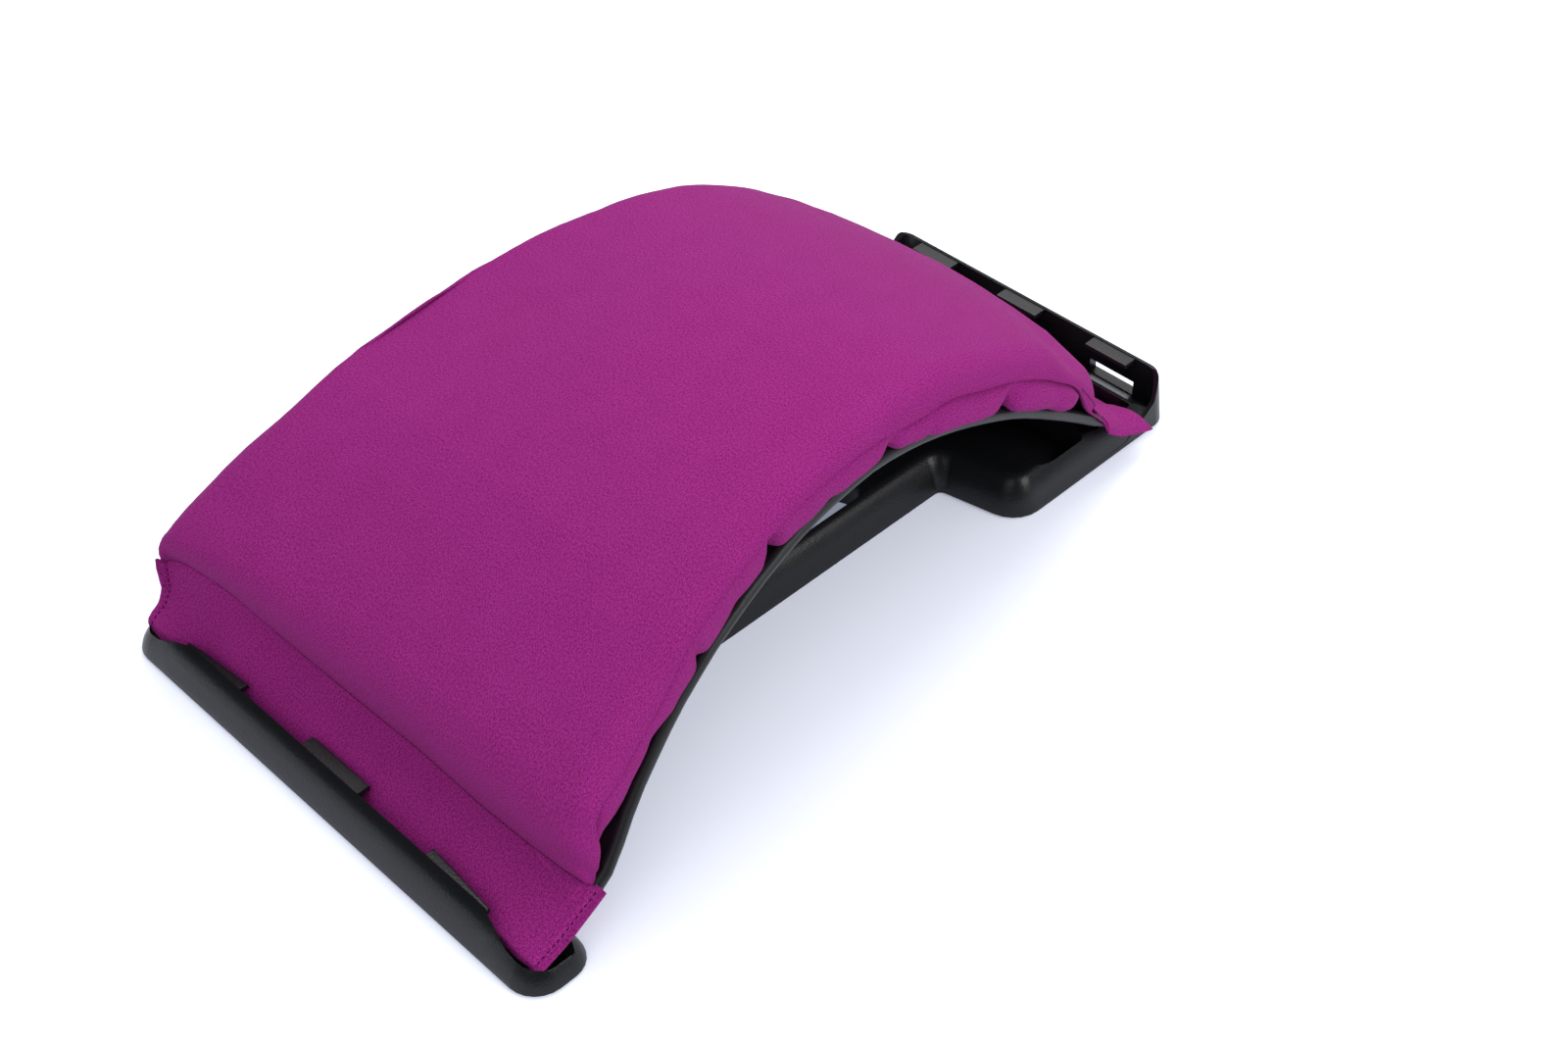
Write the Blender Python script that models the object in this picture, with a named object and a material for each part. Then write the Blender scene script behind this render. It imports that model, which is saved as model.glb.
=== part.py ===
# Back stretcher: a moulded base, and a hinged arch plate that carries a padded, sewn cover.
# Metres. +X runs from the front rail to the rear lip, +Y to the left, +Z up, and z = 0 is the floor.

import math

import bmesh
import bpy
import numpy as np

# Overall sizes of the base.
base_length = 0.408
rail_width = 0.2484
platform_width = 0.1644
beam_width = 0.088
body_height = 0.018
lip_height = 0.0255
foot_rise = 0.001

# Front rail.
rail_depth = 0.030
rail_front_radius = 0.0127
rail_rear_radius = 0.0105
rail_fillet = 0.015
channel_floor = 0.0032
channel_wall = 0.009
channel_corner_wall = 0.0046
channel_end_wall = 0.0035
channel_depth = 0.016
channel_rear_top = 0.0118
rim_level = 0.0367
rail_clearance = 0.008
rail_skin = 0.0015

# Hook tabs.
front_tab_width = 0.0348
front_tab_spacing = 0.0739
front_tab_reach = 0.0147
front_tab_top = 0.0176
tab_thickness = 0.0024
rear_tab_width = 0.0234
rear_tab_spacing = 0.0522
rear_tab_reach = 0.0124
window_low = 0.0055
window_high = 0.0125

# Rear platform: the ramps and stop walls of the three levels, measured from the rear end.
platform_length = 0.1117
trough_side = 0.0062
ridge_width = 0.0022
first_ramp_start = 0.087
first_wall = 0.0555
second_wall = 0.0224
lip_wall = 0.0056
first_floor = 0.0062
second_floor = 0.0040
third_floor = 0.0050
platform_corner = 0.015
lip_corner = 0.011

# Beam slots.
slot_front_land = 0.064
slot_rear_land = 0.0343
slot_inner = 0.014
slot_side_land = 0.0095

# Shell of the moulding.
wall = 0.0024
hollow_lean = 0.72
rib_thickness = 0.002

# Feet.
foot_radius = 0.007
foot_recess = 0.001
front_foot_inset = 0.015
front_foot_side = 0.0242
rear_foot_inset = 0.0235
rear_foot_side = 0.0222

# Arch plate.
plate_thickness = 0.003
bead_radius = 0.0028
arch_rise = 0.0893
plate_front_gap = 0.0118
plate_rear_gap = 0.0032
plate_front_height = 0.0083
plate_rear_height = 0.0090
plate_front_side = 0.0077
plate_rear_overhang = 0.0028
plate_corner = 0.009
tongue_side = 0.0162
tongue_length = 0.0255
tongue_corner = 0.006
bead_start = 0.0255

# Pad and cover.
pad_front = 0.0253
pad_rear_margin = 0.0325
pad_height = 0.027
pad_crown = 0.003
pad_edge_radius = 0.0105
pad_front_radius = 0.011
pad_rear_radius = 0.016
side_seam_height = 0.0154
fabric = 0.0008
flange_width = 0.0028
rear_pocket_overhang = 0.0078
elastic_width = 0.006
elastic_thickness = 0.0007

# Space left between two pieces that touch.
gap = 0.0003

# How far cutters reach past the part: sideways, upwards, and beyond an end or the floor.
cut_side = 0.2
cut_top = 0.05
cut_past = 0.01

half_length = base_length / 2
rail_half = rail_width / 2
platform_half = platform_width / 2
beam_half = beam_width / 2
rail_rear = -half_length + rail_depth
platform_front = half_length - platform_length
trough_half_width = platform_half - trough_side
tongue_half_width = platform_half - tongue_side
plate_rear_half_width = platform_half + plate_rear_overhang
rear_pocket_half_width = platform_half + rear_pocket_overhang
plate_front_half_width = rail_half - plate_front_side
slot_start = rail_rear + slot_front_land
slot_end = platform_front - slot_rear_land
slot_outer = beam_half - slot_side_land

# How far the wall leans in, against height, as shares of the body's height.
wall_profile = ((0.000, 0.09), (0.0005, 0.22), (0.0016, 0.42), (0.0030, 0.60), (0.0048, 0.785),
                (0.0066, 0.91), (0.0082, 0.974), (0.0100, 1.0))

# How far the rail's rounded top sinks towards its ends: distance from the end, and share of the height left.
rail_sink = ((0.0, 0.70), (0.0042, 0.70), (0.0077, 0.715), (0.0122, 0.765), (0.0160, 0.835), (0.0202, 0.905),
             (0.0245, 0.95), (0.0290, 0.98), (rim_level, 1.0))

# Plate midline: share of the way from front end to rear end, and share of the rise.
midline = ((0.0, 0.0), (0.0255, 0.056), (0.0497, 0.110), (0.0739, 0.165), (0.0901, 0.214), (0.1057, 0.276),
           (0.1180, 0.331), (0.1350, 0.403), (0.1616, 0.493), (0.2041, 0.614), (0.2398, 0.709), (0.2748, 0.790),
           (0.3434, 0.903), (0.4157, 0.978), (0.5090, 1.0), (0.5794, 0.955), (0.6426, 0.877), (0.7139, 0.756),
           (0.7776, 0.624), (0.8602, 0.404), (0.9304, 0.198), (0.9667, 0.0955), (1.0, 0.0))

# Plate outline: share of the way along, and share of the step from rear half width to front half width.
waist = ((0.0, 1.0), (0.083, 1.0), (0.098, 0.968), (0.117, 0.889), (0.144, 0.794), (0.171, 0.714),
         (0.208, 0.600), (0.244, 0.533), (0.278, 0.470), (0.346, 0.356), (0.417, 0.254), (0.509, 0.143),
         (0.578, 0.079), (0.640, 0.035), (0.711, 0.0), (0.774, -0.019), (0.856, -0.022), (0.926, -0.010),
         (1.0, 0.0))


def clear_scene():
    for item in list(bpy.data.objects):
        bpy.data.objects.remove(item, do_unlink=True)
    for item in list(bpy.data.collections):
        bpy.data.collections.remove(item)


def new_collection(name, hidden=False):
    found = bpy.data.collections.new(name)
    found.hide_render = hidden
    bpy.context.scene.collection.children.link(found)
    return found


def new_material(name, colour, roughness, metallic=0.0):
    found = bpy.data.materials.new(name)
    found.use_nodes = True
    shader = found.node_tree.nodes["Principled BSDF"]
    shader.inputs["Base Color"].default_value = (*colour, 1.0)
    shader.inputs["Roughness"].default_value = roughness
    shader.inputs["Metallic"].default_value = metallic
    found.diffuse_color = (*colour, 1.0)
    return found


def base_plastic():
    return new_material("base_plastic", (0.013, 0.013, 0.014), 0.42)


def plate_plastic():
    return new_material("plate_plastic", (0.016, 0.017, 0.017), 0.45)


def cover_fabric():
    return new_material("cover_fabric", (0.34, 0.028, 0.24), 0.90)


def pad_foam():
    return new_material("pad_foam", (0.55, 0.55, 0.50), 0.95)


def hem_elastic():
    return new_material("hem_elastic", (0.70, 0.70, 0.68), 0.85)


def foot_rubber():
    return new_material("foot_rubber", (0.02, 0.02, 0.02), 0.85)


def add_mesh(name, bm, material=None, cutter=False):
    bmesh.ops.recalc_face_normals(bm, faces=bm.faces[:])
    mesh = bpy.data.meshes.new(name)
    bm.to_mesh(mesh)
    bm.free()
    item = bpy.data.objects.new(name, mesh)
    if cutter:
        item.hide_render = True
        item.display_type = "WIRE"
        cutters.objects.link(item)
    else:
        mesh.materials.append(material)
        parts.objects.link(item)
    return item


def boolean(target, other, operation):
    step = target.modifiers.new(other.name, "BOOLEAN")
    step.operation = operation
    step.solver = "EXACT"
    step.object = other


def rounded_outline(corners, step=0.3):
    """Plan outline through corners (x, y, radius), each turned by an arc of its radius."""
    found = []
    count = len(corners)
    for index, (x, y, radius) in enumerate(corners):
        corner = np.array((x, y))
        before = np.array(corners[index - 1][:2]) - corner
        after = np.array(corners[(index + 1) % count][:2]) - corner
        before = before / np.linalg.norm(before)
        after = after / np.linalg.norm(after)
        opening = math.acos(float(np.clip(before @ after, -1, 1)))
        reach = radius / math.tan(opening / 2)
        start = corner + before * reach
        end = corner + after * reach
        centre = corner + (before + after) / np.linalg.norm(before + after) * radius / math.sin(opening / 2)
        first = math.atan2(*(start - centre)[::-1])
        turn = math.atan2(*(end - centre)[::-1]) - first
        turn = (turn + math.pi) % (2 * math.pi) - math.pi
        pieces = max(2, math.ceil(abs(turn) / step))
        for piece in range(pieces + 1):
            angle = first + turn * piece / pieces
            found.append((centre[0] + radius * math.cos(angle), centre[1] + radius * math.sin(angle)))
    return found


def prism(outline, low, high):
    """Solid of a plan outline between two heights."""
    bm = bmesh.new()
    face = bm.faces.new([bm.verts.new((x, y, low)) for x, y in outline])
    raised = bmesh.ops.extrude_face_region(bm, geom=[face])["geom"]
    corners = [item for item in raised if isinstance(item, bmesh.types.BMVert)]
    bmesh.ops.translate(bm, verts=corners, vec=(0, 0, high - low))
    return bm


def stepped_solid(outline, low, rings, start_inset=0.0):
    """Solid of an outline whose wall leans in along rings (inset, height), closed flat on top."""
    bm = bmesh.new()
    face = bm.faces.new([bm.verts.new((x, y, low)) for x, y in outline])
    face.normal_update()
    if face.normal.z < 0:
        face.normal_flip()
    if start_inset:
        made = bmesh.ops.inset_region(bm, faces=[face], thickness=start_inset, use_boundary=True,
                                      use_even_offset=True)["faces"]
        bmesh.ops.delete(bm, geom=made, context="FACES")
    raised = bmesh.ops.extrude_face_region(bm, geom=[face])["geom"]
    corners = [item for item in raised if isinstance(item, bmesh.types.BMVert)]
    top = [item for item in raised if isinstance(item, bmesh.types.BMFace)]
    bmesh.ops.translate(bm, verts=corners, vec=(0, 0, rings[0][1] - low))
    bmesh.ops.recalc_face_normals(bm, faces=bm.faces[:])
    for (inset, height), (next_inset, next_height) in zip(rings, rings[1:]):
        bmesh.ops.inset_region(bm, faces=top, thickness=next_inset - inset, depth=next_height - height,
                               use_boundary=True, use_even_offset=True)
    bmesh.ops.triangulate(bm, faces=[face for face in bm.faces if len(face.verts) > 4])
    return bm


def cross_prism(profile, low_y, high_y, rounding=0.0):
    """Solid of a profile in X and Z, drawn out along Y, with its end edges rounded."""
    bm = bmesh.new()
    face = bm.faces.new([bm.verts.new((x, low_y, z)) for x, z in profile])
    raised = bmesh.ops.extrude_face_region(bm, geom=[face])["geom"]
    corners = [item for item in raised if isinstance(item, bmesh.types.BMVert)]
    bmesh.ops.translate(bm, verts=corners, vec=(0, high_y - low_y, 0))
    if rounding:
        ends = [edge for edge in bm.edges if abs(edge.verts[0].co.y - edge.verts[1].co.y) < 1e-6]
        bmesh.ops.bevel(bm, geom=ends, offset=rounding, segments=3, profile=0.5, affect="EDGES",
                        clamp_overlap=True)
    return bm


def box(low, high, rounding=0.0):
    bm = bmesh.new()
    bmesh.ops.create_cube(bm, size=1.0)
    size = [b - a for a, b in zip(low, high)]
    centre = [(a + b) / 2 for a, b in zip(low, high)]
    bmesh.ops.scale(bm, verts=bm.verts[:], vec=size)
    bmesh.ops.translate(bm, verts=bm.verts[:], vec=centre)
    if rounding:
        bmesh.ops.bevel(bm, geom=bm.edges[:], offset=rounding, segments=2, profile=0.5, affect="EDGES")
    return bm


def cylinder(radius, x, y, low, high, sides=24):
    bm = bmesh.new()
    bmesh.ops.create_cone(bm, cap_ends=True, segments=sides, radius1=radius, radius2=radius, depth=high - low)
    bmesh.ops.translate(bm, verts=bm.verts[:], vec=(x, y, (low + high) / 2))
    return bm


def loft(rings):
    """Solid through closed rings of points that correspond one to one, capped at both ends."""
    bm = bmesh.new()
    rows = [[bm.verts.new(point) for point in ring] for ring in rings]
    count = len(rows[0])
    for first, second in zip(rows, rows[1:]):
        for index in range(count):
            after = (index + 1) % count
            bm.faces.new((first[index], first[after], second[after], second[index]))
    bm.faces.new(rows[0])
    bm.faces.new(rows[-1][::-1])
    return bm


# Plan outline of the base, seen from above, counterclockwise.
def base_corners():
    right = [
        (-half_length, -rail_half, rail_front_radius),
        (rail_rear, -rail_half, rail_rear_radius),
        (rail_rear, -beam_half, rail_fillet),
        (platform_front, -beam_half, 0.0035),
        (platform_front + 0.0077, -platform_half, platform_corner),
        (half_length, -platform_half, lip_corner),
    ]
    left = [(x, -y, radius) for x, y, radius in reversed(right)]
    return right + left


def body_rings(height, extra=0.0, lean=1.0):
    return [(inset * lean + extra, height * share) for inset, share in wall_profile]


def ramp_profile():
    """Profile of the first two ramps and their stop walls, as the cutter sees it."""
    first = half_length - first_wall
    second = half_length - second_wall
    above = 2 * body_height
    return [
        (half_length - first_ramp_start, body_height + 0.0006),
        (first, first_floor),
        (first, body_height - 0.0004),
        (first + ridge_width, body_height - 0.0006),
        (second, second_floor),
        (second, above),
        (half_length - first_ramp_start, above),
    ]


def lip_tray():
    """The third ramp and the space inside the lip, which follows the lip round both corners."""
    front = half_length - second_wall - 0.0006
    rear = half_length - lip_wall
    side = platform_half - 0.0032
    corners = [(front, -side, 0.002), (rear, -side, lip_corner - 0.0025), (rear, side, lip_corner - 0.0025),
               (front, side, 0.002)]
    tray = add_mesh("lip_tray", prism(rounded_outline(corners), 0.0, cut_top), cutter=True)
    ramp = [
        (front - cut_past, body_height - 0.0018),
        (front + ridge_width, body_height - 0.0022),
        (rear, third_floor),
        (rear + cut_past, third_floor),
        (rear + cut_past, -cut_past),
        (front - cut_past, -cut_past),
    ]
    boolean(tray, add_mesh("lip_tray_floor", cross_prism(ramp, -cut_side, cut_side), cutter=True), "DIFFERENCE")
    return tray


def ramp_backing():
    """What the hollow leaves standing under the ramps: their skin and the walls below the ridges."""
    first = half_length - first_wall
    second = half_length - second_wall
    third = half_length - lip_wall
    below = -0.005
    skin = wall + 0.0002
    return [
        (half_length - first_ramp_start + 0.001, body_height - skin + 0.0004),
        (first, first_floor - wall),
        (first, below),
        (first + ridge_width, below),
        (first + ridge_width, body_height - 0.0006 - skin),
        (second - 0.002, second_floor - wall + 0.0010),
        (second - 0.002, below),
        (second + ridge_width, below),
        (second + ridge_width, body_height - 0.0022 - skin - 0.0006),
        (third - 0.002, third_floor - wall + 0.0010),
        (third - 0.002, below),
        (half_length + cut_past, below),
        (half_length + cut_past, cut_top),
        (half_length - first_ramp_start + 0.001, cut_top),
    ]


def foot_places():
    found = []
    for end, x, y in (("front", -half_length + front_foot_inset, rail_half - front_foot_side),
                      ("rear", platform_front + rear_foot_inset, platform_half - rear_foot_side)):
        found += [(f"foot_{end}_right", x, -y), (f"foot_{end}_left", x, y)]
    return found


def hollow():
    """The open space under the moulding, with ribs, bosses and slot walls left standing in it."""
    rings = body_rings(body_height - wall, wall, hollow_lean)
    void = add_mesh("hollow", stepped_solid(rounded_outline(base_corners()), -0.002, rings, wall), cutter=True)
    kept = [
        ("kept_ramps", cross_prism(ramp_backing(), -cut_side, cut_side)),
        ("kept_rail", box((-half_length - cut_past, -cut_side, -cut_past),
                          (clearance_end() + rail_skin, cut_side, cut_top))),
    ]
    for side in (-1, 1):
        low, high = sorted((side * (slot_inner - wall), side * (slot_outer + wall)))
        kept.append((f"kept_slot_{side + 1}", box((slot_start - wall, low, -cut_past),
                                                  (slot_end + wall, high, cut_top))))
    for index, x in enumerate(np.linspace(rail_rear + 0.030, platform_front - 0.012, 5)):
        kept.append((f"kept_rib_{index}", box((x - rib_thickness / 2, -cut_side, 0.003),
                                              (x + rib_thickness / 2, cut_side, cut_top))))
    for index, (_, x, y) in enumerate(foot_places()[2:]):
        kept.append((f"kept_boss_{index}", cylinder(foot_radius + wall, x, y, -cut_past, cut_top)))
    for name, shape in kept:
        boolean(void, add_mesh(name, shape, cutter=True), "DIFFERENCE")
    return void


def lip_block():
    """The raised rear lip, falling to the shoulder round both rear corners."""
    start = half_length - 0.045
    corners = [
        (start, -platform_half, 0.003),
        (half_length, -platform_half, lip_corner),
        (half_length, platform_half, lip_corner),
        (start, platform_half, 0.003),
    ]
    rings = [(0.0, 0.0016), (0.0006, 0.006), (0.0029, 0.0235), (0.0036, 0.0250), (0.0048, lip_height)]
    block = add_mesh("lip_block", stepped_solid(rounded_outline(corners), foot_rise, rings), cutter=True)
    fall = [
        (start - cut_past, 0.003),
        (half_length - 0.032, 0.003),
        (half_length - 0.018, 0.0095),
        (half_length - 0.0115, 0.0135),
        (half_length - 0.0059, lip_height + 0.0003),
        (half_length - 0.0059, cut_top),
        (start - cut_past, cut_top),
    ]
    boolean(block, add_mesh("lip_fall", cross_prism(fall, -cut_side, cut_side), cutter=True), "DIFFERENCE")
    return block


def sink_rail_ends(bm):
    """Lets the rail's rounded top fall towards both ends, as one smooth surface."""
    distances, shares = zip(*rail_sink)
    for side in (-1, 1):
        for distance in distances[1:]:
            everything = bm.verts[:] + bm.edges[:] + bm.faces[:]
            bmesh.ops.bisect_plane(bm, geom=everything, plane_co=(0, side * (rail_half - distance), 0),
                                   plane_no=(0, 1, 0))
    for vert in bm.verts:
        share = float(np.interp(rail_half - abs(vert.co.y), distances, shares))
        vert.co.z = foot_rise + (vert.co.z - foot_rise) * share
    bmesh.ops.triangulate(bm, faces=bm.faces[:])
    return bm


def channel():
    """The open channel that takes the plate's front end, with a sloping rear wall."""
    front = -half_length + channel_wall
    end = rail_half - channel_end_wall
    rear = front + channel_depth
    corner = -half_length + channel_corner_wall
    level = rail_half - rim_level
    right = [(front, -level, 0.020), (corner, -level - 0.018, 0.012), (corner, -end, 0.0095),
             (rear, -end, 0.004)]
    corners = right + [(x, -y, radius) for x, y, radius in reversed(right)]
    item = add_mesh("channel", prism(rounded_outline(corners), channel_floor, cut_top), cutter=True)
    slope = [
        (rear - 0.0055, channel_floor - 0.0001),
        (rear + 0.001, channel_rear_top + 0.0012),
        (rear + 0.003, channel_rear_top + 0.0012),
        (rear + 0.003, channel_floor - 0.0001),
    ]
    boolean(item, add_mesh("channel_slope", cross_prism(slope, -cut_side, cut_side), cutter=True), "DIFFERENCE")
    return item


def clearance_end():
    """Where the cut behind the channel ends: from there on the plate's underside is above the body."""
    _, xs, zs, slopes, _ = arch
    above = zs - plate_thickness / 2 * np.cos(slopes) > body_height + 2 * gap
    places = xs + plate_thickness / 2 * np.sin(slopes)
    return max(rail_rear + rail_clearance, places[above][0])


def rail_top_clearance():
    """Lowers the rail behind the channel, so that the plate's foot passes over it."""
    front = -half_length + channel_wall + channel_depth - 0.004
    end = clearance_end()
    profile = [
        (front, channel_rear_top),
        (rail_rear + rail_skin, channel_rear_top + 0.0008),
        (end, body_height + 0.0008),
        (end, cut_top),
        (front, cut_top),
    ]
    return add_mesh("rail_top_clearance", cross_prism(profile, -cut_side, cut_side), cutter=True)


def front_tab(index, centre):
    """A hook tab over the front channel. The three lips share one shallow curve."""
    root = -half_length + channel_wall - 0.0007
    outline = [(root, centre - front_tab_width / 2)]
    for y in np.linspace(centre - front_tab_width / 2, centre + front_tab_width / 2, 6):
        outline.append((-half_length + front_tab_reach - 0.56 * y * y, y))
    outline.append((root, centre + front_tab_width / 2))
    bm = prism(outline, front_tab_top - tab_thickness, front_tab_top)
    edges = [edge for edge in bm.edges if min(vert.co.z for vert in edge.verts) > front_tab_top - 1e-5]
    bmesh.ops.bevel(bm, geom=edges, offset=0.0006, segments=2, profile=0.5, affect="EDGES")
    return add_mesh(f"front_tab_{index}", bm, cutter=True)


def rear_tab(index, centre):
    """A hook tab that reaches forward from the top of the rear lip."""
    low = (half_length - rear_tab_reach, centre - rear_tab_width / 2, lip_height - 0.0004 - tab_thickness)
    high = (half_length - lip_wall + 0.0012, centre + rear_tab_width / 2, lip_height - 0.0004)
    return add_mesh(f"rear_tab_{index}", box(low, high, 0.0005), cutter=True)


def slot(side):
    middle = side * (slot_inner + slot_outer) / 2
    half = (slot_outer - slot_inner) / 2
    corners = [
        (slot_start, middle - half, half * 0.9),
        (slot_end, middle - half, half * 0.9),
        (slot_end, middle + half, half * 0.9),
        (slot_start, middle + half, half * 0.9),
    ]
    return add_mesh(f"slot_{side + 1}", prism(rounded_outline(corners), -cut_past, cut_top), cutter=True)


def window(index, centre):
    """The opening through the rear wall below each rear tab."""
    low = (half_length - lip_wall - 0.0008, centre - rear_tab_width / 2 - 0.0006, window_low)
    high = (half_length + cut_past, centre + rear_tab_width / 2 + 0.0006, window_high)
    return add_mesh(f"window_{index}", box(low, high), cutter=True)


def base_frame():
    outline = rounded_outline(base_corners())
    rings = body_rings(body_height)
    frame = add_mesh("base_frame", sink_rail_ends(stepped_solid(outline, foot_rise, rings)), black_moulding)
    boolean(frame, lip_block(), "UNION")
    boolean(frame, hollow(), "DIFFERENCE")
    ramps = cross_prism(ramp_profile(), -trough_half_width, trough_half_width, 0.0018)
    boolean(frame, add_mesh("ramps", ramps, cutter=True), "DIFFERENCE")
    boolean(frame, lip_tray(), "DIFFERENCE")
    boolean(frame, rail_top_clearance(), "DIFFERENCE")
    boolean(frame, channel(), "DIFFERENCE")
    for side in (-1, 1):
        boolean(frame, slot(side), "DIFFERENCE")
    for index, centre in enumerate((-rear_tab_spacing, 0.0, rear_tab_spacing)):
        boolean(frame, window(index, centre), "DIFFERENCE")
        boolean(frame, rear_tab(index, centre), "UNION")
    for index, centre in enumerate((-front_tab_spacing, 0.0, front_tab_spacing)):
        boolean(frame, front_tab(index, centre), "UNION")
    for name, x, y in foot_places():
        recess = cylinder(foot_radius + gap, x, y, -cut_past, foot_rise + foot_recess)
        boolean(frame, add_mesh(f"{name}_recess", recess, cutter=True), "DIFFERENCE")
    return frame


def feet():
    for name, x, y in foot_places():
        bm = cylinder(foot_radius, x, y, 0.0, foot_rise + foot_recess - gap)
        edges = [edge for edge in bm.edges if max(vert.co.z for vert in edge.verts) < 1e-6]
        bmesh.ops.bevel(bm, geom=edges, offset=0.0004, segments=1, affect="EDGES")
        add_mesh(name, bm, black_rubber)


def plate_midline():
    """Finely spaced midline of the plate: distance along it, x, z, normal and half width."""
    front = -half_length + plate_front_gap
    rear = half_length - second_wall - plate_rear_gap
    share = np.array(midline)
    points = np.empty_like(share)
    points[:, 0] = front + share[:, 0] * (rear - front)
    points[:, 1] = share[:, 1] * arch_rise
    points[:, 1] += plate_front_height + share[:, 0] * (plate_rear_height - plate_front_height)
    fine = []
    last = len(points) - 1
    for index in range(last):
        a, b, c, d = (points[min(max(index + k, 0), last)] for k in (-1, 0, 1, 2))
        for t in np.linspace(0, 1, 13)[:-1]:
            fine.append(0.5 * (2 * b + (c - a) * t + (2 * a - 5 * b + 4 * c - d) * t * t
                               + (3 * b - a - 3 * c + d) * t ** 3))
    fine = np.array(fine + [points[-1]])
    step = np.hypot(*np.diff(fine, axis=0).T)
    along = np.concatenate([[0], np.cumsum(step)])
    slope = np.unwrap(np.arctan2(np.gradient(fine[:, 1], along), np.gradient(fine[:, 0], along)))
    slope = np.convolve(np.pad(slope, 8, mode="edge"), np.ones(17) / 17, mode="valid")
    table = np.array(waist)
    width_share = np.interp((fine[:, 0] - front) / (rear - front), table[:, 0], table[:, 1])
    half = plate_rear_half_width + width_share * (plate_front_half_width - plate_rear_half_width)
    return along, fine[:, 0], fine[:, 1], slope, half


def on_arch(distance):
    """Midline point, unit normal and half width at a distance from the plate's front end."""
    along, xs, zs, slopes, halves = arch
    slope = np.interp(distance, along, slopes)
    x = np.interp(distance, along, xs)
    z = np.interp(distance, along, zs)
    beyond = distance - np.clip(distance, 0, along[-1])
    x += beyond * math.cos(slope)
    z += beyond * math.sin(slope)
    return x, z, -math.sin(slope), math.cos(slope), np.interp(distance, along, halves)


def lift(distance, y, height):
    """World point at a distance along the plate, y across it and a height above its midline."""
    x, z, nx, nz, _ = on_arch(distance)
    return (x + nx * height, y, z + nz * height)


def half_at(distance):
    return on_arch(distance)[4]


def mirrored(half):
    """A ring across the plate from its right half, given from the underside's middle to the top's."""
    left = [(-y, height) for y, height in reversed(half) if y > 1e-9]
    return list(half) + left


def corner_cut(distance, radius):
    """How far a rounded corner draws the edge in, at a distance behind the end."""
    behind = min(max(distance, 0.0), radius)
    return radius - math.sqrt(radius ** 2 - (radius - behind) ** 2)


def front_places():
    """Distances shared by the plate and the pocket round its front end, so that their facets match."""
    return [0.0012, 0.0035, 0.0070, 0.0120, 0.0170, 0.0210]


def rear_places():
    """The same for the rear end, from the pocket's mouth to the tip."""
    length = arch[0][-1]
    tail = length - tongue_length
    return [pad_rear + gap, tail, tail + 0.004, tail + 0.008, tail + 0.012, length - 0.007, length - 0.0035,
            length - 0.0012]


def plate_half(distance):
    """Half width of the plate, with its rounded front corners and the narrow tongue at its rear end."""
    length = arch[0][-1]
    tail = length - tongue_length
    half = half_at(distance) - corner_cut(distance, plate_corner)
    shoulder = np.interp(distance, (tail, tail + 0.004, tail + 0.008, tail + 0.012), (0, 0.14, 0.60, 1.0))
    half = half + (tongue_half_width - half) * shoulder
    return half - corner_cut(length - distance, tongue_corner)


def arch_plate():
    """The plate: a thin sheet with a round bead down both long edges, flat where the pockets hold it."""
    length = arch[0][-1]
    places = [0.0] + front_places() + [pad_front - gap, bead_start + 0.006]
    places += list(np.linspace(bead_start + 0.012, pad_rear - 0.012, 33))
    places += [pad_rear - 0.006, pad_rear - 0.0005] + rear_places() + [length]
    rings = []
    for distance in places:
        half = plate_half(distance)
        bead = np.interp(distance, (bead_start, bead_start + 0.006, pad_rear - 0.006, pad_rear - 0.0005),
                         (plate_thickness / 2, bead_radius, bead_radius, plate_thickness / 2))
        joint = math.pi - math.asin(min(1.0, plate_thickness / 2 / bead))
        right = [(0.0, -plate_thickness / 2)]
        for angle in np.linspace(-joint, joint, 9):
            right.append((half - bead + bead * math.cos(angle), bead * math.sin(angle)))
        right.append((0.0, plate_thickness / 2))
        rings.append([lift(distance, -y, height) for y, height in mirrored(right)])
    return add_mesh("arch_plate", loft(rings), black_plate)


def pad_rows(inset):
    """Distance along the plate and top height of each row of the pad, drawn in from the cover's outside."""
    front = pad_front + inset
    rear = pad_rear - inset
    top = pad_height - inset
    front_radius = pad_front_radius - inset
    rear_radius = pad_rear_radius - inset
    low = 0.0045
    rows = [(front, low), (front, 0.0085), (front, 0.0125)]
    for angle in np.linspace(0, math.pi / 2, 6):
        rows.append((front + front_radius * (1 - math.cos(angle)), top - front_radius * (1 - math.sin(angle))))
    for distance in np.linspace(front + front_radius, rear - rear_radius, 34)[1:-1]:
        rows.append((distance, top))
    for angle in np.linspace(math.pi / 2, 0, 6):
        rows.append((rear - rear_radius * (1 - math.cos(angle)), top - rear_radius * (1 - math.sin(angle))))
    rows += [(rear, 0.0075), (rear, low)]
    return rows


def top_path(half, top, inset, seam, count=5):
    """Right half of the pad's top across the plate, from the side seam up and over to the middle."""
    outer = half + 0.0005 - inset
    seam = min(seam, top - 0.0009)
    radius = min(pad_edge_radius - inset, (top - seam) * 0.9)
    crown = pad_crown * min(1.0, max(0.0, (top - 0.010) / 0.016))
    path = [(outer, seam)]
    for angle in np.linspace(0.12, math.pi / 2, count):
        height = top - radius * (1 - math.sin(angle))
        path.append((outer - radius * (1 - math.cos(angle)), max(seam + 0.0003, height)))
    inner = outer - radius
    for share in (0.66, 0.33, 0.0):
        path.append((inner * share, top + crown * (1 - share * share)))
    return path


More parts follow.
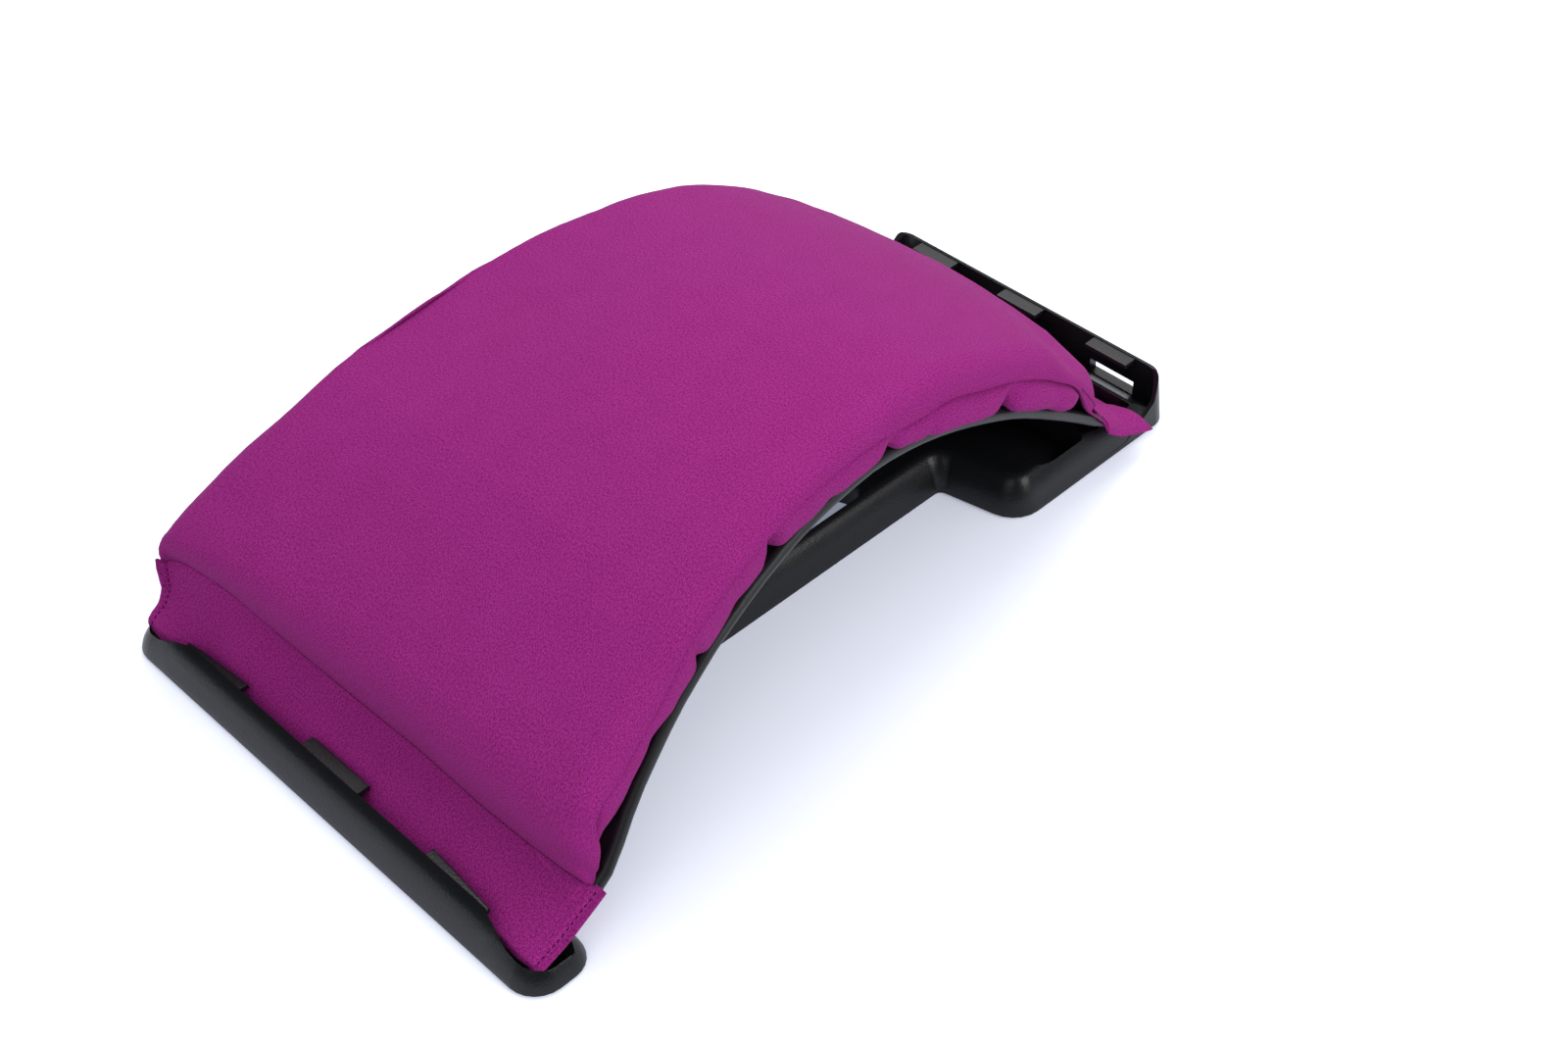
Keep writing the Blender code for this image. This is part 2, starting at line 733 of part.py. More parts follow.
def cover_top_panel():
    """The large top panel, from the front seam over the pad to the rear seam."""
    rings = []
    for (out_s, out_h), (in_s, in_h) in zip(pad_rows(0.0), pad_rows(fabric)):
        outer = top_path(half_at(out_s), out_h, 0.0, side_seam_height)
        inner = top_path(half_at(in_s), in_h, fabric, side_seam_height)
        ring = [lift(out_s, -y, height) for y, height in outer]
        ring += [lift(out_s, y, height) for y, height in outer[-2::-1]]
        ring += [lift(in_s, y, height) for y, height in inner]
        ring += [lift(in_s, -y, height) for y, height in inner[-2::-1]]
        rings.append(ring)
    return add_mesh("cover_top_panel", loft(rings), magenta)


# Side band across the plate: offset from the plate's edge, and height above its midline.
band_outside = ((0.0004, None), (0.0006, 0.011), (-0.0002, 0.0072), (-0.0026, 0.0046), (-0.0060, 0.0026),
                (-0.0085, 0.0021), (-0.0190, 0.0021))
band_inside = ((-0.0004, None), (-0.0002, 0.0112), (-0.0010, 0.0076), (-0.0031, 0.0053), (-0.0063, 0.0034),
               (-0.0086, 0.0028), (-0.0190, 0.0028))
foam_side = ((-0.0009, None), (-0.0007, 0.0114), (-0.0015, 0.0079), (-0.0035, 0.0059), (-0.0068, 0.0042),
             (-0.0205, 0.0042), (-0.0215, 0.0019))


def band_rows():
    """Distance along the plate and seam height of each row of a side band."""
    start = pad_front + fabric + gap
    end = pad_rear - fabric - gap
    bend = pad_rear - pad_rear_radius
    radius = pad_rear_radius - fabric
    places = list(np.linspace(start, bend, 36))
    places += [bend + (end - bend) * share for share in (0.35, 0.6, 0.8, 0.92, 1.0)]
    rows = []
    for distance in places:
        share = max(0.0, distance - bend) / radius
        top = pad_height - fabric - radius * (1 - math.sqrt(1 - share * share))
        rows.append((distance, min(side_seam_height, top - 0.0009 - 0.0016 * share) - gap))
    return rows


def cover_side(name, side):
    rings = []
    for distance, top in band_rows():
        half = half_at(distance)
        outside = [(half + offset, top if height is None else height) for offset, height in band_outside]
        inside = [(half + offset, top if height is None else height) for offset, height in band_inside]
        rings.append([lift(distance, side * y, height) for y, height in outside + inside[::-1]])
    return add_mesh(name, loft(rings), magenta)


def hem_strip(name, side):
    """Flat elastic lying in the band's turned hem, between the foam and the plate."""
    rings = []
    for distance, _ in band_rows():
        outer = half_at(distance) - 0.0120
        low = 0.0028 + gap
        high = low + elastic_thickness
        ring = ((outer, low), (outer, high), (outer - elastic_width, high), (outer - elastic_width, low))
        rings.append([lift(distance, side * y, height) for y, height in ring])
    return add_mesh(name, loft(rings), white_elastic)


def foam_pad():
    """The foam block, bent over the plate, with its bottom edges cut back for the hems."""
    inset = fabric + 2 * gap
    rows = pad_rows(inset)[2:-2]
    rings = []
    for distance, top in rows:
        half = half_at(distance)
        over = top_path(half, top, inset, side_seam_height)
        under = [(half + offset, min(over[0][1], height or side_seam_height)) for offset, height in foam_side]
        right = [(0.0, 0.0019)] + under[:0:-1] + over
        rings.append([lift(distance, -y, height) for y, height in mirrored(right)])
    return add_mesh("foam_pad", loft(rings), grey_foam)


def pocket_half(half, flange, sign, skin, lift_off):
    """Right half of one pocket layer across the plate: flat flange, round the edge, then flat on the plate."""
    near = gap / 2 + skin
    far = max(near, lift_off + skin)
    path = [(flange, near), (half + 0.0011 + skin, near), (half - 0.0007 + skin, far),
            (half * 0.66, far), (half * 0.33, far), (0.0, far)]
    return [(y, sign * height) for y, height in path]


def front_pocket(name, sign, rear, rise):
    """One layer of the pocket over the plate's front end, above it (sign 1) or below it (sign -1)."""
    rings = []
    corner = plate_corner + flange_width
    flat = plate_thickness / 2 + gap + 0.0001
    places = [(-0.0021, -0.0013, 0.0), (-0.0011, -0.0006, flat)]
    places += [(distance, distance, flat) for distance in front_places()]
    places.append((rear, rear, flat + rise))
    for out_s, in_s, lift_off in places:
        half = plate_half(max(out_s, 0.0012))
        flange = half_at(0.0) + flange_width - corner_cut(out_s + 0.0026, corner)
        flange = max(flange, half + 0.0016 + fabric)
        outer = pocket_half(half, flange, sign, fabric, lift_off)
        inner = pocket_half(half, flange, sign, 0.0, lift_off)
        ring = [lift(out_s, -y, height) for y, height in outer]
        ring += [lift(out_s, y, height) for y, height in outer[-2::-1]]
        ring += [lift(in_s, y, height) for y, height in inner]
        ring += [lift(in_s, -y, height) for y, height in inner[-2::-1]]
        rings.append(ring)
    return add_mesh(name, loft(rings), magenta)


def shoulder_height(y):
    """Lowest height at which cloth clears the platform's shoulder and hangs past its side."""
    places = (0.0, trough_half_width - 0.0025, trough_half_width, platform_half - 0.0037, platform_half - 0.0007,
              platform_half + 0.0038, rear_pocket_half_width)
    heights = (0.0, 0.0160, 0.0172, 0.0154, 0.0132, 0.0114, 0.0106)
    return float(np.interp(y, places, heights))


# Columns of the rear pocket's side, from its outer edge in to the edge of the tongue.
pocket_shares = (1.0, 0.85, 0.58, 0.431, 0.307, 0.0)


def rear_pocket(name, sign):
    """One layer of the pocket over the plate's rear end. Its empty corners rest on the platform's shoulders."""
    length = arch[0][-1]
    tail = length - tongue_length
    rings = []
    places = rear_places() + [length + 0.0006, length + 0.0014]
    for index, distance in enumerate(places):
        x, z, nx, nz, _ = on_arch(distance)
        inner_half = plate_half(min(distance, length - 0.0012))
        closed = index == len(places) - 1
        reach = plate_thickness / 2 + gap + 0.0001
        near = gap / 2
        edge = max(inner_half + 0.0018, trough_half_width - 0.0062)
        rise = 0.0014 if sign > 0 and index == 0 else 0.0
        columns = [(edge + (rear_pocket_half_width - edge) * share, near) for share in pocket_shares]
        columns += [(inner_half - 0.0002, reach + rise), (inner_half * 0.66, reach + rise),
                    (inner_half * 0.33, reach + rise), (0.0, reach + rise)]
        layers = []
        for skin in (fabric, 0.0):
            path = []
            for y, height in columns:
                if closed:
                    height = near
                level = z + nz * sign * (height + skin)
                if y > inner_half:
                    floor = shoulder_height(y)
                    level = max(z, floor) + sign * (near + skin)
                path.append((x + nx * sign * (height + skin), y, level))
            layers.append(path)
        outer, inner = layers
        ring = [(px, -y, pz) for px, y, pz in outer]
        ring += [(px, y, pz) for px, y, pz in outer[-2::-1]]
        ring += [(px, y, pz) for px, y, pz in inner]
        ring += [(px, -y, pz) for px, y, pz in inner[-2::-1]]
        rings.append(ring)
    return add_mesh(name, loft(rings), magenta)


def hinge_empty():
    """Marks the line under the front tabs about which the arch swings."""
    marker = bpy.data.objects.new("arch_hinge", None)
    marker.location = (-half_length + front_tab_reach, 0.0, front_tab_top - tab_thickness)
    parts.objects.link(marker)
    return marker


clear_scene()
parts = new_collection("back_stretcher")
cutters = new_collection("cutters", hidden=True)
black_moulding = base_plastic()
black_plate = plate_plastic()
magenta = cover_fabric()
grey_foam = pad_foam()
white_elastic = hem_elastic()
black_rubber = foot_rubber()
arch = plate_midline()
pad_rear = arch[0][-1] - pad_rear_margin

base_frame()
feet()
moving = [
    arch_plate(),
    foam_pad(),
    cover_top_panel(),
    cover_side("cover_left_side", 1),
    cover_side("cover_right_side", -1),
    hem_strip("left_hem_elastic", 1),
    hem_strip("right_hem_elastic", -1),
    front_pocket("front_pocket_panel", 1, pad_front - gap, 0.0014),
    front_pocket("front_pocket_back", -1, pad_front - 0.0006, 0.0),
    rear_pocket("rear_pocket_panel", 1),
    rear_pocket("rear_pocket_back", -1),
]
hinge = hinge_empty()
bpy.context.view_layer.update()
for item in moving:
    item.parent = hinge
    item.matrix_parent_inverse = hinge.matrix_world.inverted()
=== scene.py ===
import math
from functools import lru_cache

import bmesh
import bpy
import numpy as np
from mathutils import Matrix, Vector, noise


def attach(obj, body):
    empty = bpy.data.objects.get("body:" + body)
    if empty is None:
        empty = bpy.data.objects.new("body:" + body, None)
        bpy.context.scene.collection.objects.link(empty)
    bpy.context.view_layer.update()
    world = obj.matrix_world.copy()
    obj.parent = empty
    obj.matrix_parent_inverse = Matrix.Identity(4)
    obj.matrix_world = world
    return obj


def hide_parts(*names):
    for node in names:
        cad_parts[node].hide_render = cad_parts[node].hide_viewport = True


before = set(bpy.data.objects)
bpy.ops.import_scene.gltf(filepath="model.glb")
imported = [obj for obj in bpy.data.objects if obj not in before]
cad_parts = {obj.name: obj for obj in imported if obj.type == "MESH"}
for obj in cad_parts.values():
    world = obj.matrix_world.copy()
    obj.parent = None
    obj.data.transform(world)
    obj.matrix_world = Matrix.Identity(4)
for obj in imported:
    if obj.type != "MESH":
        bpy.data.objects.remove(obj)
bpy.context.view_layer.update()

# A back stretcher: a black moulded base, and an arched plate in a sewn, padded magenta cover.
# Metres. +X runs from the wide front rail to the rear lip, +Y to the left, +Z up.
print("frame loaded:", len(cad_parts), "nodes")


# Helpers

# A finished mesh object at the origin.
def addPiece(name, bm, material):
    mesh = bpy.data.meshes.new(name)
    bm.to_mesh(mesh)
    bm.free()
    piece = bpy.data.objects.new(name, mesh)
    bpy.context.scene.collection.objects.link(piece)
    mesh.materials.append(material)
    mesh.shade_smooth()
    return piece


def addModifier(piece, kind, **values):
    step = piece.modifiers.new(kind.lower(), kind)
    for name, value in values.items():
        setattr(step, name, value)


# A copy of a CAD node, with its loose triangles joined up and its flat faces made whole again.
def copyOfNode(name):
    bm = bmesh.new()
    bm.from_mesh(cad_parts[name].data)
    bmesh.ops.remove_doubles(bm, verts=bm.verts[:], dist=1e-6)
    bmesh.ops.dissolve_limit(bm, angle_limit=math.radians(0.6), verts=bm.verts[:], edges=bm.edges[:])
    return bm


# The value of a table (where, value) at a place, on straight lines between its rows.
def along(points, where):
    places, values = zip(*points)
    return float(np.interp(where, places, values))


# The same on a smooth curve through the rows.
def eased(points, where):
    places, values = (np.array(column, dtype=float) for column in zip(*points))
    where = min(max(where, places[0]), places[-1])
    index = min(int(np.searchsorted(places, where, side="right")) - 1, len(places) - 2)
    slopes = np.gradient(values, places)
    gap = places[index + 1] - places[index]
    share = (where - places[index]) / gap
    return float(values[index] * (1 + 2 * share) * (1 - share) ** 2
                 + slopes[index] * gap * share * (1 - share) ** 2
                 + values[index + 1] * share ** 2 * (3 - 2 * share)
                 + slopes[index + 1] * gap * share ** 2 * (share - 1))


# Further columns of a table (where, value, value ...), read at a place.
def rowAt(table, where):
    table = np.array(table)
    return [float(np.interp(where, table[:, 0], table[:, k])) for k in range(1, table.shape[1])]


# A smooth step from 0 to 1 between two values, which may also run downwards.
def smooth(low, high, value):
    share = min(max((value - low) / (high - low), 0.0), 1.0)
    return share * share * (3 - 2 * share)


# The lengths from the first point of a path to each of its points.
def pathLengths(path):
    return np.concatenate([[0], np.cumsum(np.hypot(*np.diff(path, axis=0).T))])


# The plate's line, which everything sewn follows

plate = {"thickness": 0.003, "cornerEnd": 0.030, "tongueStart": 0.034, "sameStation": 2e-5}


# Distance along the plate, x, z, normal and half width at each station of the CAD plate's middle line.
def readPlate():
    bm = copyOfNode("arch_plate")
    points = np.array([vert.co for vert in bm.verts])
    middle = bmesh.ops.bisect_plane(bm, geom=bm.verts[:] + bm.edges[:] + bm.faces[:], dist=1e-7,
                                    plane_co=(0, 0, 0), plane_no=(0, 1, 0))["geom_cut"]
    middle = np.array([item.co for item in middle if isinstance(item, bmesh.types.BMVert)])
    bm.free()
    found = []
    for low in middle:
        reach = np.hypot(middle[:, 0] - low[0], middle[:, 2] - low[2])
        top = middle[np.argmin(abs(reach - plate["thickness"]))]
        x, z = (low[0] + top[0]) / 2, (low[2] + top[2]) / 2
        near = np.hypot(points[:, 0] - x, points[:, 2] - z) < plate["sameStation"]
        if top[2] > low[2] and near.any():
            normal = (top - low) / np.linalg.norm(top - low)
            found.append((x, z, normal[0], normal[2], abs(points[near, 1]).max()))
    found = np.array(sorted(found))
    return np.column_stack([pathLengths(found[:, :2]), found])


stations = readPlate()
plateLength = stations[-1, 0]
wide = stations[(stations[:, 0] > plate["cornerEnd"]) & (stations[:, 0] < plateLength - plate["tongueStart"])]
print("plate read:", len(stations), "stations,", round(float(plateLength), 4), "m long")


# Half the plate's width at distance s, with its rounded corners and its tongue left out.
def halfAt(s):
    return float(np.interp(s, wide[:, 0], wide[:, 5]))


# The point at distance s along the plate, y across it and height h above its middle.
def lay(s, y, h):
    x, z, nx, nz = (np.interp(s, stations[:, 0], stations[:, k]) for k in range(1, 5))
    beyond = s - min(max(s, 0.0), plateLength)
    return Vector((x + nz * beyond + nx * h, y, z - nx * beyond + nz * h))


# A cloth grid: place(a, b) gives the point for shares a along and b across, size is the flat cut, and
# crowd draws the threads across closer together at both edges.
def clothGrid(name, segments, size, place, material, thickness, crowd=0.0):
    bm = bmesh.new()
    bmesh.ops.create_grid(bm, x_segments=segments[0], y_segments=segments[1], size=0.5)
    for vert in bm.verts:
        vert.co.y -= crowd * math.sin(2 * math.pi * (vert.co.y + 0.5)) / (2 * math.pi)
    threads = bm.loops.layers.uv.new("threads")
    for face in bm.faces:
        for loop in face.loops:
            across = loop.vert.co
            loop[threads].uv = ((across.x + 0.5) * size[0], (across.y + 0.5) * size[1])
    for vert in bm.verts:
        vert.co = place(vert.co.x + 0.5, vert.co.y + 0.5)
    piece = addPiece(name, bm, material)
    addModifier(piece, "SOLIDIFY", thickness=thickness, offset=-1.0, use_quality_normals=True)
    return piece


# Short stitches in a row along a line of points, as one piece of thread.
def stitchRow(name, points, normals, stitch, material):
    bm = bmesh.new()
    lengths = np.concatenate([[0], np.cumsum([(b - a).length for a, b in zip(points, points[1:])])])
    count = int(lengths[-1] / stitch["pitch"])
    for index in range(count):
        middle = (index + 0.5) * stitch["pitch"]
        spot = [Vector([np.interp(where, lengths, [p[k] for p in points]) for k in range(3)])
                for where in (middle - stitch["length"] / 2, middle, middle + stitch["length"] / 2)]
        normal = Vector([np.interp(middle, lengths, [n[k] for n in normals]) for k in range(3)]).normalized()
        forward = (spot[2] - spot[0]).normalized()
        side = normal.cross(forward).normalized()
        made = bmesh.ops.create_icosphere(bm, subdivisions=1, radius=1.0)["verts"]
        for vert in made:
            x, y, z = vert.co
            vert.co = spot[1] + forward * x * stitch["length"] / 2 + side * y * stitch["width"] / 2 \
                + normal * (z * stitch["height"] + stitch["proud"])
    return addPiece(name, bm, material)


# Materials

def newMaterial(name):
    material = bpy.data.materials.new(name)
    material.use_nodes = True
    tree = material.node_tree
    return material, tree, tree.nodes["Principled BSDF"]


# A node group with its named inputs (name, kind, value) and outputs (name, kind).
def newGroup(name, inputs, outputs):
    group = bpy.data.node_groups.new(name, "ShaderNodeTree")
    for label, kind, value in inputs:
        socket = group.interface.new_socket(name=label, in_out="INPUT", socket_type=kind)
        if value is not None:
            socket.default_value = value
    for label, kind in outputs:
        group.interface.new_socket(name=label, in_out="OUTPUT", socket_type=kind)
    start = group.nodes.new("NodeGroupInput")
    end = group.nodes.new("NodeGroupOutput")
    return group, start, end


# A node with its values, each set on the socket of that name, or else on the node itself.
def addNode(tree, kind, **values):
    node = tree.nodes.new(kind)
    for name, value in values.items():
        if name in node.inputs:
            node.inputs[name].default_value = value
        else:
            setattr(node, name, value)
    return node


def mathNode(tree, operation, a, b=None, c=None):
    node = tree.nodes.new("ShaderNodeMath")
    node.operation = operation
    for socket, value in zip(node.inputs, (a, b, c)):
        if value is None:
            continue
        if isinstance(value, (int, float)):
            socket.default_value = value
        else:
            tree.links.new(value, socket)
    return node.outputs[0]


# A colour mix from one colour to another by the share in an output. Sockets 6, 7 and 2 are its colours.
def tintNode(tree, share, low, high):
    tint = addNode(tree, "ShaderNodeMix", data_type="RGBA")
    tint.inputs[6].default_value = low
    tint.inputs[7].default_value = high
    tree.links.new(share, tint.inputs[0])
    return tint.outputs[2]


# The bump that a height gives the surface.
def bumpNode(tree, shader, height, strength):
    bump = addNode(tree, "ShaderNodeBump", Strength=strength, Distance=0.0002)
    tree.links.new(height, bump.inputs["Height"])
    tree.links.new(bump.outputs["Normal"], shader.inputs["Normal"])


# Noise scales and weights of the cloth, and of the moulded grain.
weave = {"slubs": 950.0, "speckles": 1250.0, "patches": 60.0, "cellHeight": 0.5, "cellShade": 0.16,
         "speckleShade": 1.5, "patchShade": 0.12}
mould = {"scatter": 35.0, "pitHeight": 0.6}


# Fine plain weave: threads over and under, with slubs and a mottled dye.
def weaveGroup():
    group, start, end = newGroup("plainWeave", [
        ("Vector", "NodeSocketVector", None), ("Threads per Metre", "NodeSocketFloat", 2400.0),
        ("Mottle", "NodeSocketFloat", 0.12)], [("Height", "NodeSocketFloat"), ("Shade", "NodeSocketFloat")])
    link = group.links.new
    scaled = addNode(group, "ShaderNodeVectorMath", operation="SCALE")
    link(start.outputs["Vector"], scaled.inputs[0])
    link(start.outputs["Threads per Metre"], scaled.inputs["Scale"])
    split = addNode(group, "ShaderNodeSeparateXYZ")
    link(scaled.outputs[0], split.inputs[0])
    warp = mathNode(group, "SINE", mathNode(group, "MULTIPLY", split.outputs["X"], math.pi))
    weft = mathNode(group, "SINE", mathNode(group, "MULTIPLY", split.outputs["Y"], math.pi))
    cells = mathNode(group, "MULTIPLY", warp, weft)
    slub = addNode(group, "ShaderNodeTexNoise", Scale=weave["slubs"], Detail=2.0, Roughness=0.7)
    link(start.outputs["Vector"], slub.inputs["Vector"])
    height = mathNode(group, "MULTIPLY_ADD", cells, weave["cellHeight"], slub.outputs["Fac"])
    link(height, end.inputs["Height"])
    fine = addNode(group, "ShaderNodeTexNoise", Scale=weave["speckles"], Detail=1.5, Roughness=0.7)
    broad = addNode(group, "ShaderNodeTexNoise", Scale=weave["patches"], Detail=3.0, Roughness=0.55)
    link(start.outputs["Vector"], fine.inputs["Vector"])
    link(start.outputs["Vector"], broad.inputs["Vector"])
    speckle = mathNode(group, "SUBTRACT", fine.outputs["Fac"], 0.5)
    patch = mathNode(group, "SUBTRACT", broad.outputs["Fac"], 0.5)
    mixed = mathNode(group, "MULTIPLY", speckle, weave["speckleShade"])
    mixed = mathNode(group, "MULTIPLY_ADD", cells, weave["cellShade"], mixed)
    mixed = mathNode(group, "MULTIPLY_ADD", patch, weave["patchShade"], mixed)
    link(mathNode(group, "MULTIPLY_ADD", mixed, start.outputs["Mottle"], 1.0), end.inputs["Shade"])
    return group


# Spark-eroded mould grain: fine rounded pits of uneven size.
def grainGroup():
    group, start, end = newGroup("mouldGrain", [
        ("Vector", "NodeSocketVector", None), ("Grains per Metre", "NodeSocketFloat", 1400.0)],
        [("Height", "NodeSocketFloat"), ("Scatter", "NodeSocketFloat")])
    link = group.links.new
    grain = addNode(group, "ShaderNodeTexNoise", Detail=2.0, Roughness=0.75)
    pits = addNode(group, "ShaderNodeTexVoronoi", Randomness=1.0)
    for node in (grain, pits):
        link(start.outputs["Vector"], node.inputs["Vector"])
        link(start.outputs["Grains per Metre"], node.inputs["Scale"])
    height = mathNode(group, "MULTIPLY_ADD", pits.outputs["Distance"], mould["pitHeight"], grain.outputs["Fac"])
    link(height, end.inputs["Height"])
    soft = addNode(group, "ShaderNodeTexNoise", Scale=mould["scatter"], Detail=3.0, Roughness=0.6)
    link(start.outputs["Vector"], soft.inputs["Vector"])
    link(soft.outputs["Fac"], end.inputs["Scatter"])
    return group


groups = {"weave": weaveGroup(), "grain": grainGroup()}

fabricLook = {"colour": (0.338, 0.0275, 0.214, 1.0), "deep": (0.196, 0.0050, 0.118, 1.0), "roughness": 0.9,
              "sheen": 0.025, "sheenRoughness": 0.5, "specular": 0.07, "threads": 2100.0, "mottle": 1.0,
              "shadeRange": (0.76, 1.20), "bump": 0.45}


def clothMaterial(name, look):
    material, tree, shader = newMaterial(name)
    threads = addNode(tree, "ShaderNodeUVMap", uv_map="threads")
    cloth = addNode(tree, "ShaderNodeGroup", node_tree=groups["weave"])
    cloth.inputs["Threads per Metre"].default_value = look["threads"]
    cloth.inputs["Mottle"].default_value = look["mottle"]
    tree.links.new(threads.outputs["UV"], cloth.inputs["Vector"])
    darkest, lightest = look["shadeRange"]
    share = addNode(tree, "ShaderNodeMapRange", **{"From Min": darkest, "From Max": lightest})
    tree.links.new(cloth.outputs["Shade"], share.inputs["Value"])
    tree.links.new(tintNode(tree, share.outputs["Result"], look["deep"], look["colour"]), shader.inputs["Base Color"])
    bumpNode(tree, shader, cloth.outputs["Height"], look["bump"])
    shader.inputs["Roughness"].default_value = look["roughness"]
    shader.inputs["Sheen Weight"].default_value = look["sheen"]
    shader.inputs["Sheen Roughness"].default_value = look["sheenRoughness"]
    shader.inputs["Specular IOR Level"].default_value = look["specular"]
    return material


plasticLook = {"colour": (0.0055, 0.0058, 0.0068, 1.0), "pale": (0.0085, 0.0088, 0.0105, 1.0),
               "roughness": (0.25, 0.36), "specular": 0.36, "grains": 1000.0, "bump": 0.34}


def plasticMaterial(name, look):
    material, tree, shader = newMaterial(name)
    place = addNode(tree, "ShaderNodeTexCoord")
    grain = addNode(tree, "ShaderNodeGroup", node_tree=groups["grain"])
    grain.inputs["Grains per Metre"].default_value = look["grains"]
    tree.links.new(place.outputs["Object"], grain.inputs["Vector"])
    tree.links.new(tintNode(tree, grain.outputs["Scatter"], look["colour"], look["pale"]), shader.inputs["Base Color"])
    glossy, dull = look["roughness"]
    gloss = addNode(tree, "ShaderNodeMapRange", **{"To Min": glossy, "To Max": dull})
    tree.links.new(grain.outputs["Scatter"], gloss.inputs["Value"])
    tree.links.new(gloss.outputs["Result"], shader.inputs["Roughness"])
    bumpNode(tree, shader, grain.outputs["Height"], look["bump"])
    shader.inputs["Specular IOR Level"].default_value = look["specular"]
    return material


materials = {
    "cover": clothMaterial("magentaCover", fabricLook),
    "thread": clothMaterial("coverThread", {**fabricLook, "colour": (0.070, 0.004, 0.048, 1.0),
                                            "deep": (0.035, 0.002, 0.025, 1.0), "sheen": 0.0}),
    "base": plasticMaterial("blackMoulding", plasticLook),
    "plate": plasticMaterial("blackPlate", {**plasticLook, "colour": (0.009, 0.0098, 0.0100, 1.0),
                                            "pale": (0.013, 0.0135, 0.0145, 1.0), "grains": 1500.0,
                                            "roughness": (0.34, 0.46), "bump": 0.22}),
    "foam": clothMaterial("greyFoam", {**fabricLook, "colour": (0.55, 0.55, 0.50, 1.0), "deep": (0.40, 0.40, 0.36, 1.0),
                                       "threads": 600.0, "sheen": 0.0}),
    "elastic": clothMaterial("whiteElastic", {**fabricLook, "colour": (0.70, 0.70, 0.68, 1.0),
                                              "deep": (0.5, 0.5, 0.49, 1.0), "threads": 1200.0}),
    "rubber": plasticMaterial("blackRubber", {**plasticLook, "roughness": (0.7, 0.85), "bump": 0.15}),
}
print("materials made")


# Base and plate, from the CAD's own shapes with their edges broken

# The width of each broken edge, and the angle in degrees past which an edge is broken.
baseEdges = {"width": 0.0004, "sharperThan": 38}
plateEdges = {"width": 0.0003, "sharperThan": 50}


def hardPiece(node, name, body, material, edges):
    piece = addPiece(name, copyOfNode(node), material)
    addModifier(piece, "BEVEL", width=edges["width"], segments=2, limit_method="ANGLE",
                angle_limit=math.radians(edges["sharperThan"]), miter_outer="MITER_ARC", use_clamp_overlap=True,
                harden_normals=False)
    addModifier(piece, "WEIGHTED_NORMAL", keep_sharp=True, weight=60)
    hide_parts(node)
    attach(piece, body)


hardPiece("base_frame", "baseShell", "base", materials["base"], baseEdges)
hardPiece("arch_plate", "archPlate", "arch", materials["plate"], plateEdges)
for name in ("foot_front_left", "foot_front_right", "foot_rear_left", "foot_rear_right"):
    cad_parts[name].material_slots[0].material = materials["rubber"]
print("base and plate made")


# Cover: the top panel

